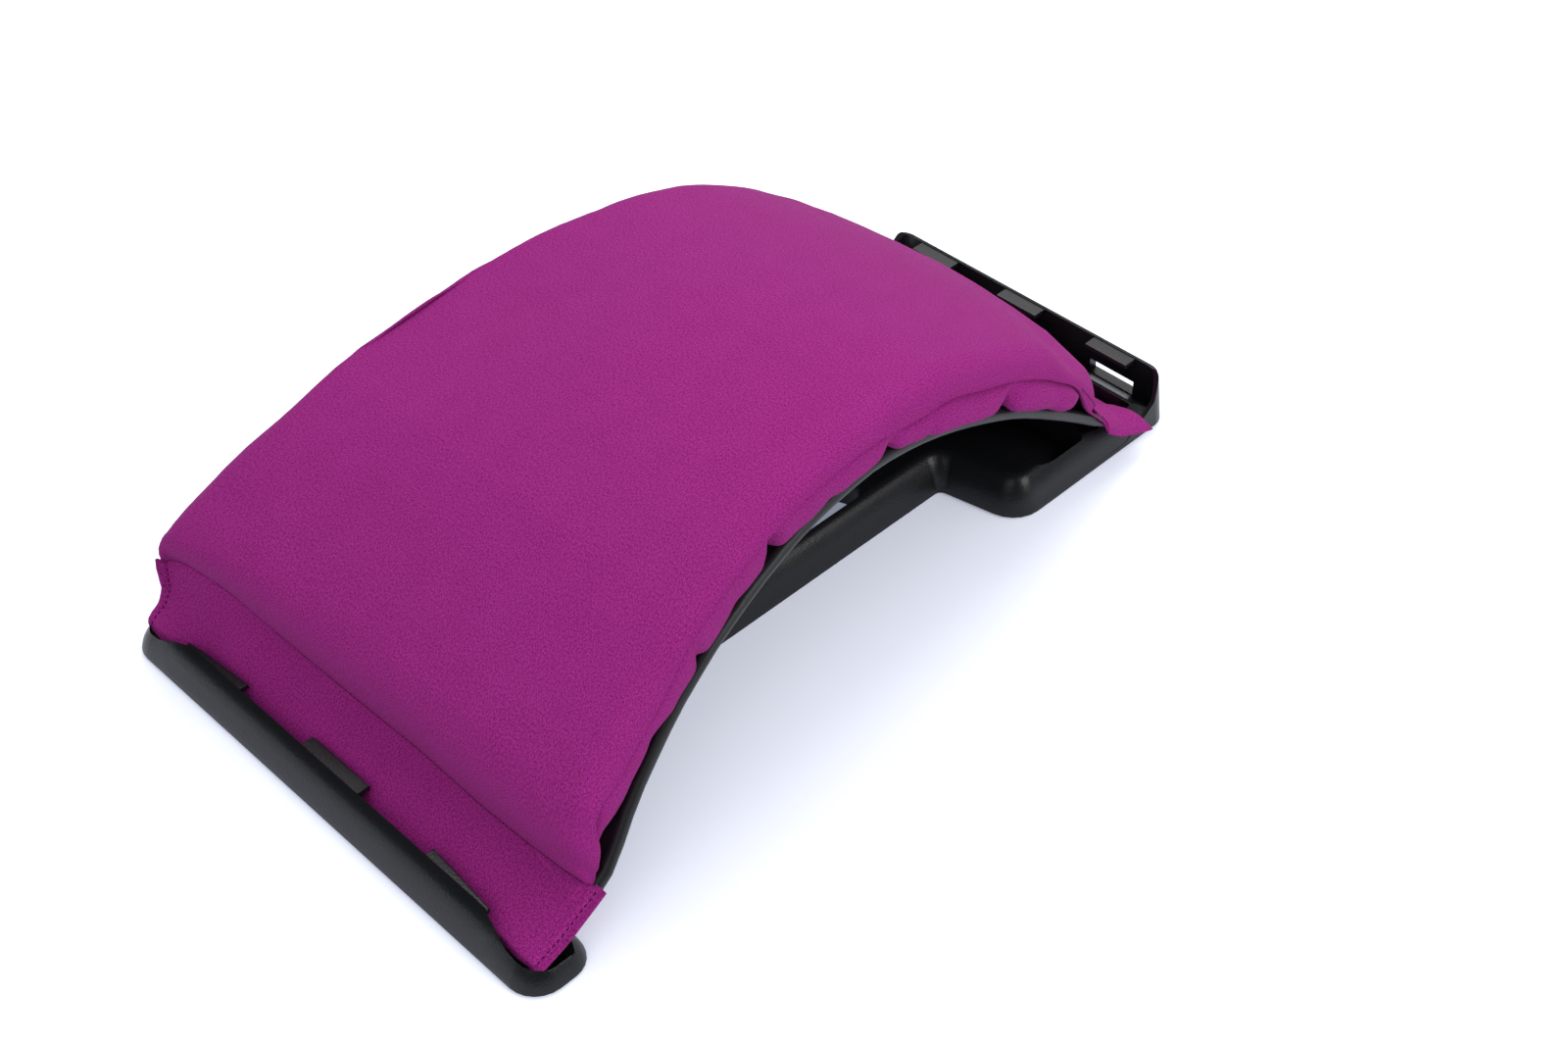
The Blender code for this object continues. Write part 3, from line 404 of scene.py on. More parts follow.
cover = {
    "fabric": 0.0008,
    "cut": (0.40, 0.28),
    "segments": (210, 160),
    # The shape is worked out on this many columns across the pad, with this many points in each.
    "columns": 41,
    "rows": 401,
    # The outline across the pad: play over the plate's edge, the tuck at the side seam, the bulge between
    # seam and shoulder, the shoulder's radius with its largest share of the height, and the rise to the middle.
    "play": 0.0005,
    "tuck": 0.0011,
    "sideBulge": 0.0010,
    "edgeRadius": 0.0125,
    "edgeShare": 0.92,
    "seamBelowTop": 0.0006,
    "crown": 0.0035,
    "crownStart": 0.010,
    "crownRun": 0.016,
    # The lumps of the stuffing, which fade towards the sides and the front seam.
    "lumps": 0.0008,
    "lumpSideFade": 6,
    "lumpFrontFade": 30,
    # The gathers along the rear seam.
    "pleatHeight": 0.0006,
    "pleatPitch": 0.0062,
    "pleatRows": (0.955, 0.995),
    # The rear end: how far it stays from the plate's, the seam's height, the corners' rounding, and the run
    # over which the top drops towards them.
    "rearMargin": 0.0325,
    "rearSeam": 0.0035,
    "rearCorner": 0.024,
    "rearDropRun": 0.030,
    # Across the pad from the right edge (-1) to the left (1): how long the turn down to the rear seam is,
    # and how far the top drops before it.
    "rear": ((-1.00, 0.040, 0.0085), (-0.88, 0.040, 0.0085), (-0.75, 0.035, 0.0060), (-0.50, 0.029, 0.0028),
             (0.00, 0.027, 0.0018), (0.60, 0.025, 0.0010), (1.00, 0.024, 0.0008)),
    # Across the pad again: where the front seam lies, its height, and how far back and how squarely the
    # front face turns over on to the top.
    "front": ((-1.00, 0.0325, 0.0040, 0.016, 1.9), (-0.95, 0.0302, 0.0041, 0.020, 1.8),
              (-0.86, 0.0290, 0.0043, 0.024, 1.75), (-0.70, 0.0280, 0.0045, 0.028, 1.75),
              (-0.50, 0.0275, 0.0045, 0.030, 1.75), (-0.20, 0.0283, 0.0050, 0.030, 1.75),
              (0.00, 0.0279, 0.0058, 0.029, 1.75), (0.30, 0.0275, 0.0080, 0.028, 1.8),
              (0.45, 0.0275, 0.0100, 0.025, 1.8), (0.60, 0.0281, 0.0142, 0.019, 1.9),
              (0.66, 0.0273, 0.0164, 0.014, 2.0), (0.72, 0.0260, 0.0185, 0.011, 2.2),
              (0.77, 0.0244, 0.0200, 0.009, 2.3), (0.82, 0.0224, 0.0209, 0.007, 2.4),
              (0.87, 0.0204, 0.0212, 0.006, 2.4), (1.00, 0.0186, 0.0216, 0.006, 2.4)),
    # The cloth near the left end of the front seam is drawn into a pucker: shares of the width before and after.
    "leftGather": ((0.0, 0.0), (0.13, 0.025), (0.18, 0.062), (0.23, 0.120), (0.30, 0.215), (0.45, 0.42),
                   (0.60, 0.60), (1.0, 1.0)),
    "gatherEnd": 0.04,
    # The top's height along the plate, at the right edge and at the left.
    "topRight": ((0.025, 0.0265), (0.060, 0.0280), (0.095, 0.0275), (0.126, 0.0268), (0.172, 0.0258),
                 (0.212, 0.0268), (0.240, 0.0280), (0.262, 0.0286), (0.295, 0.0288), (0.340, 0.0280),
                 (0.388, 0.0270)),
    "topLeft": ((0.020, 0.0357), (0.035, 0.0368), (0.048, 0.0364), (0.064, 0.0338), (0.080, 0.0320),
                (0.096, 0.0303), (0.112, 0.0268), (0.128, 0.0232), (0.144, 0.0210), (0.160, 0.0196),
                (0.176, 0.0196), (0.192, 0.0210), (0.208, 0.0234), (0.224, 0.0260), (0.240, 0.0288),
                (0.256, 0.0302), (0.274, 0.0314), (0.290, 0.0311), (0.304, 0.0300), (0.320, 0.0280),
                (0.336, 0.0271), (0.352, 0.0262), (0.368, 0.0254), (0.388, 0.0248)),
    # How far each side swells out over the plate's edge, along the plate.
    "leftSwell": ((0.018, 0.0016), (0.020, 0.0020), (0.023, 0.0030), (0.027, 0.0036), (0.034, 0.0032),
                  (0.048, 0.0036), (0.056, 0.0032), (0.072, 0.0028), (0.088, 0.0022), (0.096, 0.0018),
                  (0.104, 0.0008), (0.112, 0.0000), (0.120, -0.0007), (0.128, -0.0012), (0.144, -0.0017),
                  (0.170, -0.0017), (0.192, -0.0013), (0.208, -0.0007), (0.240, 0.0), (0.388, 0.0)),
    "rightSwell": ((0.0325, -0.0034), (0.035, -0.0036), (0.038, -0.0026), (0.043, -0.0012), (0.050, -0.0008),
                   (0.058, -0.0003), (0.064, 0.0), (0.388, 0.0)),
    # The side seam's height along the plate.
    "sideSeam": ((0.018, 0.0216), (0.0190, 0.0212), (0.0215, 0.0150), (0.026, 0.0055), (0.034, 0.0030),
                 (0.041, 0.0050), (0.047, 0.0095), (0.053, 0.0175), (0.059, 0.0205), (0.066, 0.0182),
                 (0.080, 0.0176), (0.097, 0.0170), (0.107, 0.0190), (0.118, 0.0212), (0.145, 0.0218),
                 (0.170, 0.0200), (0.208, 0.0168), (0.222, 0.0148), (0.238, 0.0143), (0.252, 0.0166),
                 (0.275, 0.0160), (0.295, 0.0166), (0.330, 0.0152), (0.346, 0.0135), (0.350, 0.0121),
                 (0.356, 0.0088), (0.363, 0.0048), (0.371, 0.0026), (0.379, 0.0017), (0.384, 0.0004),
                 (0.388, -0.0022)),
    # How far the right side is drawn in at its ends, and the left side let out.
    "earInset": ((0.0325, 0.0010), (0.040, 0.0040), (0.050, 0.0045), (0.056, 0.0015), (0.062, 0.0),
                 (0.370, 0.0), (0.378, -0.0016), (0.388, -0.0032)),
    "leftOut": ((0.0190, 0.0040), (0.0240, 0.0020), (0.0300, 0.0006), (0.0450, 0.0), (0.370, 0.0),
                (0.378, 0.0016), (0.388, 0.0032)),
}
padRear = float(plateLength) - cover["rearMargin"]


def topAt(s, q):
    left = smooth(0.0, 1.0, q)
    return eased(cover["topRight"], s) * (1 - left) + eased(cover["topLeft"], s) * left


# The pad's swell beyond the plate's edge on one side.
def swellAt(s, side):
    return eased(cover["leftSwell" if side > 0 else "rightSwell"], s)


# How far the rounding of the rear corners draws the pad's edge in.
def cornerAt(s):
    share = min(max((s - padRear) / cover["rearCorner"] + 1, 0.0), 1.0)
    return cover["rearCorner"] * (1 - math.sqrt(1 - share * share))


# One column of the panel, from the front seam over the pad to the rear seam, at even steps.
def column(q):
    start, low, run, power = rowAt(cover["front"], q)
    rearRun, drop = rowAt(cover["rear"], q)
    turns = np.linspace(0, math.pi / 2, 24)
    path = []
    for turn in turns:
        path.append((start + run * (1 - math.cos(turn) ** (2 / power)),
                     low + (topAt(start + run, q) - low) * math.sin(turn) ** (2 / power)))
    bend = padRear - rearRun
    path += [(s, topAt(s, q) - drop * smooth(bend - cover["rearDropRun"], bend, s))
             for s in np.linspace(start + run, bend, 80)[1:-1]]
    for turn in turns:
        path.append((bend + rearRun * math.sin(turn),
                     cover["rearSeam"] + (topAt(bend, q) - drop - cover["rearSeam"]) * math.cos(turn)))
    path = np.array(path)
    steps = pathLengths(path)
    where = np.linspace(0, steps[-1], cover["rows"])
    return np.column_stack([np.interp(where, steps, path[:, k]) for k in (0, 1)])


columns = np.array([column(q) for q in np.linspace(-1, 1, cover["columns"])])


# Distance along the plate and height at share a of the column at q across.
def overPad(a, q):
    across = (q + 1) / 2 * (cover["columns"] - 1)
    low = min(int(across), cover["columns"] - 2)
    row = a * (columns.shape[1] - 1)
    down = min(int(row), columns.shape[1] - 2)
    corners = columns[low:low + 2, down:down + 2]
    sides = corners[0] * (1 - across + low) + corners[1] * (across - low)
    return sides[0] * (1 - row + down) + sides[1] * (row - down)


# The pad's outline across the plate on one side: from the side seam up and over to the middle.
def overSide(s, top, side):
    inset = along(cover["earInset"], s) if side < 0 else -along(cover["leftOut"], s)
    half = halfAt(s) + cover["play"] + swellAt(s, side)
    corner = cornerAt(s)
    seam = min(eased(cover["sideSeam"], s), top - cover["seamBelowTop"])
    radius = min(cover["edgeRadius"], (top - seam) * cover["edgeShare"])
    rise = top - radius - seam
    crown = cover["crown"] * min(1.0, max(0.0, (top - cover["crownStart"]) / cover["crownRun"]))
    points = [(half - cover["tuck"] - inset, seam),
              (half - 0.25 * cover["tuck"] - 0.75 * inset, seam + 0.12 * rise)]
    for share in (0.35, 0.7, 1.0):
        points.append((half + cover["sideBulge"] * math.sin(math.pi * share) - inset * 0.45 * (1 - share)
                       - corner * (0.35 + 0.65 * share), seam + share * rise))
    half -= corner
    for turn in np.linspace(0.12, 1.0, 9):
        angle = turn * math.pi / 2
        points.append((half - radius * (1 - math.cos(angle)), top - radius * (1 - math.sin(angle))))
    for share in np.linspace(0.93, 0.0, 12):
        points.append(((half - radius) * share, top + crown * (1 - share ** 2)))
    points = np.array(points)
    steps = pathLengths(points)
    return steps / steps[-1], points


# Soft unevenness of stuffed cloth, less than a millimetre: broad lumps with finer ones on them.
def lumps(s, y):
    broad = noise.noise(Vector((s * 16.0, y * 16.0, 3.7)))
    fine = noise.noise(Vector((s * 55.0, y * 55.0, 9.1)))
    return cover["lumps"] * (broad + 0.35 * fine)


# The gathers that the rear seam pulls across its length, wandering a little.
def pleats(y):
    wander = 2.0 * noise.noise(Vector((y * 40.0, 0.0, 5.0)))
    return cover["pleatHeight"] * math.sin(y * 2 * math.pi / cover["pleatPitch"] + wander)


# The pad's surface as distance, y and height, for shares a from front to rear and b from right to left.
def padPlace(a, b):
    q = 2 * b - 1
    s, top = overPad(a, q)
    shares, points = overSide(s, top, 1 if q > 0 else -1)
    across = 1 - abs(q)
    if q > 0:
        across += (along(cover["leftGather"], across) - across) * (1 - smooth(0.0, cover["gatherEnd"], a))
    y = float(np.interp(across, shares, points[:, 0])) * (1 if q > 0 else -1)
    h = float(np.interp(across, shares, points[:, 1]))
    h += pleats(y) * smooth(*cover["pleatRows"], a)
    fade = min(1.0, across * cover["lumpSideFade"]) * min(1.0, a * cover["lumpFrontFade"])
    return s, y, h + lumps(s, y) * fade


def padWorld(a, b):
    return lay(*padPlace(a, b))


coverTop = clothGrid("coverTop", cover["segments"], cover["cut"], padWorld, materials["cover"], cover["fabric"])
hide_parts("cover_top_panel")
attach(coverTop, "arch")
print("top panel made")


# Foam inside the cover

foam = {
    "inset": 0.0024, "low": 0.0022, "least": 0.002, "sideInset": 0.015, "segments": (70, 48),
    # Where the foam's top starts and ends, from the plate's front end and from the pad's rear, and where its
    # underside ends.
    "front": 0.036, "rear": 0.016, "underRear": 0.006,
    # How much more the foam's sides draw in at the pad's ends, and over what run.
    "frontInset": 0.007, "frontRun": (0.075, 0.050), "rearInset": 0.009, "rearRun": (0.325, 0.350),
}


# The foam's top follows the cover, a little inside it.
def foamPlace(a, b):
    s, y, h = padPlace(a, b)
    s = min(max(s + foam["inset"] * math.cos(math.pi * a), foam["front"]), padRear - foam["rear"])
    h = max(h - foam["inset"], foam["low"] + foam["least"])
    inset = (foam["inset"] + foam["frontInset"] * smooth(*foam["frontRun"], s)
             + foam["rearInset"] * smooth(*foam["rearRun"], s))
    return s, y - math.copysign(min(inset, abs(y)), y), h


# Two grids, the foam's top and its flat underside, joined along their rims.
def foamPiece():
    bm = bmesh.new()
    threads = bm.loops.layers.uv.new("threads")
    for layer in (0, 1):
        made = bmesh.ops.create_grid(bm, x_segments=foam["segments"][0], y_segments=foam["segments"][1],
                                     size=0.5)["verts"]
        for vert in made:
            s, y, h = foamPlace(vert.co.x + 0.5, vert.co.y + 0.5)
            if layer:
                s = min(max(s, foam["front"]), padRear - foam["underRear"])
                reach = halfAt(s) - foam["sideInset"]
                y, h = min(max(y, -reach), reach), foam["low"]
            vert.co = lay(s, y, h)
    rims = [edge for edge in bm.edges if edge.is_boundary]
    bmesh.ops.bridge_loops(bm, edges=rims)
    bmesh.ops.recalc_face_normals(bm, faces=bm.faces[:])
    for face in bm.faces:
        for loop in face.loops:
            loop[threads].uv = (loop.vert.co.x, loop.vert.co.y)
    return addPiece("foamCore", bm, materials["foam"])


foamCore = foamPiece()
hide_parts("foam_pad")
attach(foamCore, "arch")
print("foam made")


# Side bands: gathered cloth from the side seam down to an elastic hem that curls in under the pad

band = {
    "segments": (300, 40), "cut": (0.34, 0.034), "start": 0.0425, "end": 0.3510,
    "puff": 0.0016, "low": 0.0037, "under": 0.0125, "ripple": 0.0006,
    # The front end keeps to a straight seam, and is drawn in as the pad is.
    "earEnd": 0.062, "seamStart": 0.059, "seamHeight": 0.0205, "seamSlope": 0.20,
    # How far the band's lower edge hangs out over the plate's edge, along the plate.
    "reach": ((0.0425, -0.0104), (0.046, -0.0086), (0.052, -0.0060), (0.057, -0.0046), (0.062, -0.0038),
              (0.073, -0.0032), (0.081, -0.0025), (0.088, -0.0022), (0.096, -0.0010), (0.114, -0.0006),
              (0.128, -0.0009), (0.137, -0.0014), (0.146, -0.0018), (0.163, -0.0018), (0.175, -0.0008),
              (0.190, 0.0004), (0.208, 0.0012), (0.223, 0.0008), (0.236, 0.0016), (0.246, 0.0028),
              (0.258, 0.0038), (0.274, 0.0036), (0.285, 0.0027), (0.296, 0.0016), (0.307, 0.0027),
              (0.319, 0.0034), (0.338, 0.0027), (0.345, 0.0020), (0.3485, 0.0004), (0.3510, -0.0030)),
    # The gathers: where each one is, how deep and how wide. The left side has them a little further back.
    "notches": ((0.0515, 0.0008, 0.0040), (0.0845, 0.0007, 0.0040), (0.1158, 0.0020, 0.0026),
                (0.1388, 0.0006, 0.0050), (0.1600, 0.0046, 0.0034), (0.1910, 0.0008, 0.0040),
                (0.2235, 0.0036, 0.0040), (0.2450, 0.0009, 0.0030), (0.2965, 0.0048, 0.0046),
                (0.3290, 0.0007, 0.0050)),
    "leftShift": 0.009,
    # The gather that flattens the puff, and by how much.
    "flatPinch": 0.005, "flattening": 0.7,
}

# The elastic: its shares of the band's length and of the way from the seam to the hem.
elastic = {
    "segments": (280, 7), "cut": (0.27, 0.010), "thickness": 0.0006, "lift": 0.0010,
    "along": (0.05, 0.86), "across": (0.73, 0.25),
}


# A path of points made smooth with a Catmull-Rom curve, with shares of its length.
def smoothPath(points, pieces=6):
    points = np.array(points)
    guide = np.vstack([2 * points[0] - points[1], points, 2 * points[-1] - points[-2]])
    fine = []
    for index in range(len(points) - 1):
        a, b, c, d = guide[index:index + 4]
        for t in np.linspace(0, 1, pieces + 1)[:-1]:
            fine.append(0.5 * (2 * b + (c - a) * t + (2 * a - 5 * b + 4 * c - d) * t * t
                               + (3 * b - a - 3 * c + d) * t ** 3))
    fine = np.array(fine + [points[-1]])
    steps = pathLengths(fine)
    return steps / steps[-1], fine


# How deep the gathers pinch the band at s. Gathers lean back by a share of their depth.
def pinchAt(s, lean, side):
    shift = band["leftShift"] if side > 0 else 0.0
    return sum(depth * math.exp(-((s - place - shift - lean * depth) / width) ** 2)
               for place, depth, width in band["notches"])


# The band's section at s, as distance out from the plate's edge and height, from the seam down over the
# puffed cloth to its lower edge, and in under the pad to the hem.
@lru_cache(maxsize=None)
def bandPath(s, side):
    ear = along(cover["earInset"], s) if s < band["earEnd"] else 0.0
    if s > band["seamStart"]:
        seam = eased(cover["sideSeam"], s)
    else:
        seam = band["seamHeight"] - (band["seamStart"] - s) * band["seamSlope"]
    out = along(band["reach"], s)
    pinch = pinchAt(s, 0.0, side)
    low = band["low"] + 0.95 * pinch
    high = seam - low
    full = band["puff"] * (1 - min(1.0, pinch / band["flatPinch"]) * band["flattening"])
    drawn = min(0.0, swellAt(s, side))
    points = [
        (-cover["tuck"] - 0.0004 - ear + drawn, seam),
        (-0.0001 - 0.15 * pinch - 0.9 * ear + 0.8 * drawn, seam - 0.0013),
        (out * 0.25 + 0.8 * full - 0.30 * pinchAt(s, 0.6, side) - 0.3 * ear, low + 0.74 * high),
        (out * 0.62 + full - 0.55 * pinchAt(s, 0.3, side), low + 0.46 * high),
        (out * 0.95 + 0.6 * full - 0.85 * pinch, low + 0.22 * high),
        (out - pinch, low + 0.0011),
        (out - 0.0011 - pinch, low),
        (out - 0.0035 - pinch, low + 0.0003),
        (min(-0.0070, out - 0.0060) - 0.4 * pinch, 0.0034 + 0.3 * pinch),
        (-band["under"], 0.0026),
    ]
    return smoothPath(points)


def bandPlace(side, a, b, lift=0.0):
    s = band["start"] + (band["end"] - band["start"]) * a
    shares, points = bandPath(s, side)
    offset = float(np.interp(b, shares, points[:, 0]))
    h = float(np.interp(b, shares, points[:, 1]))
    wave = noise.noise(Vector((s * 120.0, b * 2.0, 1.3 * side)))
    ripple = band["ripple"] * math.sin(min(1.0, b * 1.4) * math.pi) * wave
    return lay(s, side * (halfAt(s) + offset + ripple), h + lift)


def elasticPlace(side, a, b):
    first, length = elastic["along"]
    high, width = elastic["across"]
    return bandPlace(side, first + length * a, high + width * b, elastic["lift"])


for side, word in ((-1, "Right"), (1, "Left")):
    piece = clothGrid("cover" + word + "Side", band["segments"], band["cut"],
                      lambda a, b: bandPlace(side, a, b), materials["cover"], cover["fabric"])
    if side > 0:
        piece.data.flip_normals()
    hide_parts("cover_" + word.lower() + "_side")
    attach(piece, "arch")
    strip = clothGrid("hemElastic" + word, elastic["segments"], elastic["cut"],
                      lambda a, b: elasticPlace(side, a, b), materials["elastic"], elastic["thickness"])
    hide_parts(word.lower() + "_hem_elastic")
    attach(strip, "arch")
print("side bands made")


# Front pocket: two layers round the plate's front end, sewn together down both sides

pocket = {
    "segments": (46, 190), "cut": (0.032, 0.24), "crowd": 0.55,
    "edge": 0.1195, "flange": 0.0030, "corner": 0.0030, "onPlate": 0.0023, "puff": 0.0006,
    # How far the layers reach past the plate's front end, by the distance from the middle, how round their
    # nose is, and how much a tip that reaches further is lifted.
    "tips": ((0.0, -0.0021), (0.084, -0.0021), (0.096, -0.0044), (0.112, -0.0046), (0.1195, -0.0040)),
    "nose": 0.0024, "tipLift": 0.8, "liftRun": 0.45,
    # The layers meet along the left edge: where the lower one turns up, and how far out it keeps.
    "wall": 0.1187, "turn": 0.0015, "clear": 0.1202,
    # The shares of the way up and across over which the sides go over to the seam and the left edge.
    "seamRun": (0.35, 1.0), "leftRun": (0.55, 1.0),
    # Beyond the seam's right end the upper edge comes forward, and goes down on to the plate over this share.
    "freeForward": 0.0006, "freeRun": 0.6,
    # The left edge, from the channel (0) up to the front seam's end (1): its height and how far out it is.
    "leftHang": ((0.00, 0.0004, 0.1205), (0.10, 0.0024, 0.1207), (0.25, 0.0044, 0.1205), (0.45, 0.0060, 0.1202),
                 (0.70, 0.0104, 0.1188), (0.84, 0.0155, 0.1203), (0.92, 0.0188, 0.1211), (1.00, 0.0212, 0.1216)),
    # The right edge's height, and the two creases beside it: place, distance across, depth.
    "rightEdge": ((0.0, 0.0002), (0.4, 0.0004), (1.0, 0.0014)),
    "creases": ((0.0245, -0.098, 0.0006), (0.0205, -0.104, 0.0005)),
    "creaseWidth": 0.0009, "creaseLean": 0.25, "creaseFade": 0.030,
}


halfSeam = 0.0004      # half the distance between two layers where they are sewn together
seamLine = np.array([padPlace(0.0, t) for t in np.linspace(0, 1, 400)])      # the front seam, right to left


# The front seam's point for a share of the pocket's width, whose right end is free of the seam.
def seamAt(b):
    y = -pocket["edge"] + b * (pocket["edge"] + seamLine[-1, 1])
    s, h = (float(np.interp(y, seamLine[:, 1], seamLine[:, k])) for k in (0, 2))
    share = max(0.0, (seamLine[0, 1] - y) / (seamLine[0, 1] + pocket["edge"]))
    return s - pocket["freeForward"] * share, y, h + (pocket["onPlate"] - h) * smooth(0, pocket["freeRun"], share)


# The creases' depth at distance s along the plate and y across it.
def creaseAt(s, y):
    total = 0.0
    for place, across, depth in pocket["creases"]:
        away = (s - place - (y - across) * pocket["creaseLean"]) / pocket["creaseWidth"]
        total += depth * math.exp(-away ** 2) * smooth(pocket["creaseFade"], 0.0, abs(y - across))
    return total


# The pocket's upper layer hangs from the seam; the lower one lies under the plate and meets it at the edges.
def pocketPlace(a, b, layer):
    q = 2 * b - 1
    seamS, seamY, seamH = seamAt(b)
    tip = along(pocket["tips"], abs(q) * pocket["edge"])
    s = tip + (seamS - tip) * a
    hangH, hangOut = rowAt(pocket["leftHang"], a)
    edge = hangOut if q > 0 else pocket["edge"]
    cut = pocket["corner"] - math.sqrt(max(pocket["corner"] ** 2 - max(pocket["corner"] - s + tip, 0) ** 2, 0))
    y = q * (edge - cut)
    y += (seamY - y) * smooth(*pocket["seamRun"], a)
    puff = pocket["puff"] * math.sin(math.pi * a) * (1 + noise.noise(Vector((s * 60, q * 5, 0.4))))
    upper = pocket["onPlate"] + max(0.0, seamH - pocket["onPlate"]) * a ** 1.25 + puff
    leftH = hangH * seamH / pocket["leftHang"][-1][1]
    upper += (leftH - upper) * smooth(*pocket["leftRun"], q)
    upper -= creaseAt(s, y)
    inward = edge - cut - abs(y)
    nose = smooth(tip + pocket["nose"], tip, s)
    if q < 0:
        close = smooth(pocket["flange"] + 0.0015, pocket["flange"] - 0.0008, inward)
        joined = along(pocket["rightEdge"], a)
    else:
        close = smooth(max(edge - pocket["wall"], pocket["turn"]), 0.0003, inward)
        joined = leftH - halfSeam
        if layer < 0:
            y += max(0.0, pocket["clear"] - edge) * math.sin(math.pi * close)
    if layer > 0:
        h = upper if q > 0 else upper * (1 - close) + (joined + halfSeam) * close
    else:
        h = (-pocket["onPlate"] - 0.0001) * (1 - close) + (joined - halfSeam) * close
    lift = pocket["tipLift"] * (pocket["tips"][0][1] - tip) * smooth(pocket["liftRun"], 0.0, a)
    return lay(s, y, h * (1 - nose) + layer * halfSeam * nose + lift)


for layer, name, node in ((1, "frontPocketPanel", "front_pocket_panel"),
                          (-1, "frontPocketBack", "front_pocket_back")):
    piece = clothGrid(name, pocket["segments"], pocket["cut"], lambda a, b: pocketPlace(a, b, layer),
                      materials["cover"], cover["fabric"], pocket["crowd"])
    if layer < 0:
        piece.data.flip_normals()
    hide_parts(node)
    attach(piece, "arch")
print("front pocket made")


# Rear pocket: the same round the plate's tongue, with empty corners that lie on the platform's shoulders

rearPocket = {
    "segments": (40, 170), "cut": (0.036, 0.177), "crowd": 0.4,
    "tongue": 0.066, "edge": 0.0885, "onPlate": 0.0023, "pastPlate": 0.0014, "nose": 0.0012,
    # The upper layer's rise at the seam, and the empty corner's gap between the layers and its waves.
    "seamRise": 0.0012, "riseRun": 0.10, "pleatRun": 0.25, "cornerGap": 0.0005, "cornerWaves": 0.0006,
    # The empty corner from the seam back: its outer edge, and where it passes over the platform's shoulder.
    "outer": ((0.00, 0.1503, 0.0866, 0.0246), (0.30, 0.1592, 0.0872, 0.0178),
              (0.70, 0.1725, 0.0874, 0.0116), (1.00, 0.1836, 0.0870, 0.0074)),
    "overShoulder": ((0.00, 0.1505, 0.0812, 0.0308), (0.30, 0.1592, 0.0800, 0.0252),
                     (0.50, 0.1650, 0.0785, 0.0212), (1.00, 0.1776, 0.0772, 0.0160)),
}


# The layers lie on and under the plate, and past its tongue's sides each row curves over to the outer edge.
def rearPlace(a, b, layer):
    q = 2 * b - 1
    plateEnd = float(plateLength)
    reach = plateEnd + rearPocket["pastPlate"] - padRear
    s = padRear + reach * a
    y = q * rearPocket["edge"]
    side = math.copysign(1.0, q)
    inner = min(abs(y), rearPocket["tongue"])
    nose = smooth(plateEnd - rearPocket["nose"], plateEnd + rearPocket["nose"], s)
    h = layer * (rearPocket["onPlate"] * (1 - nose) + halfSeam * nose)
    if layer > 0:
        h += smooth(rearPocket["riseRun"], 0.0, a) * rearPocket["seamRise"]
        h += pleats(y) * smooth(rearPocket["pleatRun"], 0.0, a)
    point = lay(s, side * inner, h)
    beyond = (abs(y) - rearPocket["tongue"]) / (rearPocket["edge"] - rearPocket["tongue"])
    if beyond > 0:
        over = Vector(rowAt(rearPocket["overShoulder"], a))
        outer = Vector(rowAt(rearPocket["outer"], a))
        start = Vector((point.x, abs(point.y), point.z))
        middle = 2 * over - 0.5 * (start + outer)
        point = start * (1 - beyond) ** 2 + middle * 2 * beyond * (1 - beyond) + outer * beyond ** 2
        waves = rearPocket["cornerWaves"] * noise.noise(Vector((a * 4, beyond * 4, 2.2)))
        point.z += rearPocket["cornerGap"] * layer * min(1.0, beyond * 4) + waves
        point.y *= side
    return point


for layer, name, node in ((1, "rearPocketPanel", "rear_pocket_panel"),
                          (-1, "rearPocketBack", "rear_pocket_back")):
    piece = clothGrid(name, rearPocket["segments"], rearPocket["cut"], lambda a, b: rearPlace(a, b, layer),
                      materials["cover"], cover["fabric"], rearPocket["crowd"])
    if layer < 0:
        piece.data.flip_normals()
    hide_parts(node)
    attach(piece, "arch")
print("rear pocket made")


# Stitching

stitch = {
    "pitch": 0.0025, "length": 0.0017, "width": 0.00050, "height": 0.00026, "proud": 0.00015,
    # The shares of each surface's length over which its rows run, and how far two of them lie off it.
    "sideRun": (0.03, 0.98), "pocketRun": (0.06, 0.96), "rearRun": (0.05, 0.95),
    "frontSunk": 0.0002, "sideOut": 0.0006,
    # The rear seam runs on down each side of the pad: from where to where along the plate, and its heights.
    "cornerRun": (0.3515, 0.3865), "cornerHeights": (0.0136, 0.0020), "cornerOut": 0.0003,
}


# A row of stitches over a surface: place(t) gives a point for t from 0 to 1, outward its normal there, and
# count is how many points the line has.
def sewn(name, place, outward, count):
    ts = np.linspace(0, 1, count)
    piece = stitchRow(name, [place(t) for t in ts], [outward(t) for t in ts], stitch, materials["thread"])
    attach(piece, "arch")


# The normal of the surface place(a, b), from its slopes.
def normalOf(place, a, b, step=0.004):
    along1 = place(min(a + step, 1), b) - place(max(a - step, 0), b)
    along2 = place(a, min(b + step, 1)) - place(a, max(b - step, 0))
    return along1.cross(along2).normalized()


# The place at share t of a run (first, last).
def between(run, t):
    return run[0] + (run[1] - run[0]) * t


def frontNormal(t):
    return normalOf(padWorld, 0.004, t)


def sideStitchAt(side, t):
    return bandPlace(side, between(stitch["sideRun"], t), 0.0) + Vector((0, side * stitch["sideOut"], 0))


# The pocket's row keeps a flange's width inside its edge.
def pocketStitchAt(side, t):
    across = 0.5 + side * 0.5 * (1 - pocket["flange"] / pocket["edge"])
    return pocketPlace(between(stitch["pocketRun"], t), across, 1)


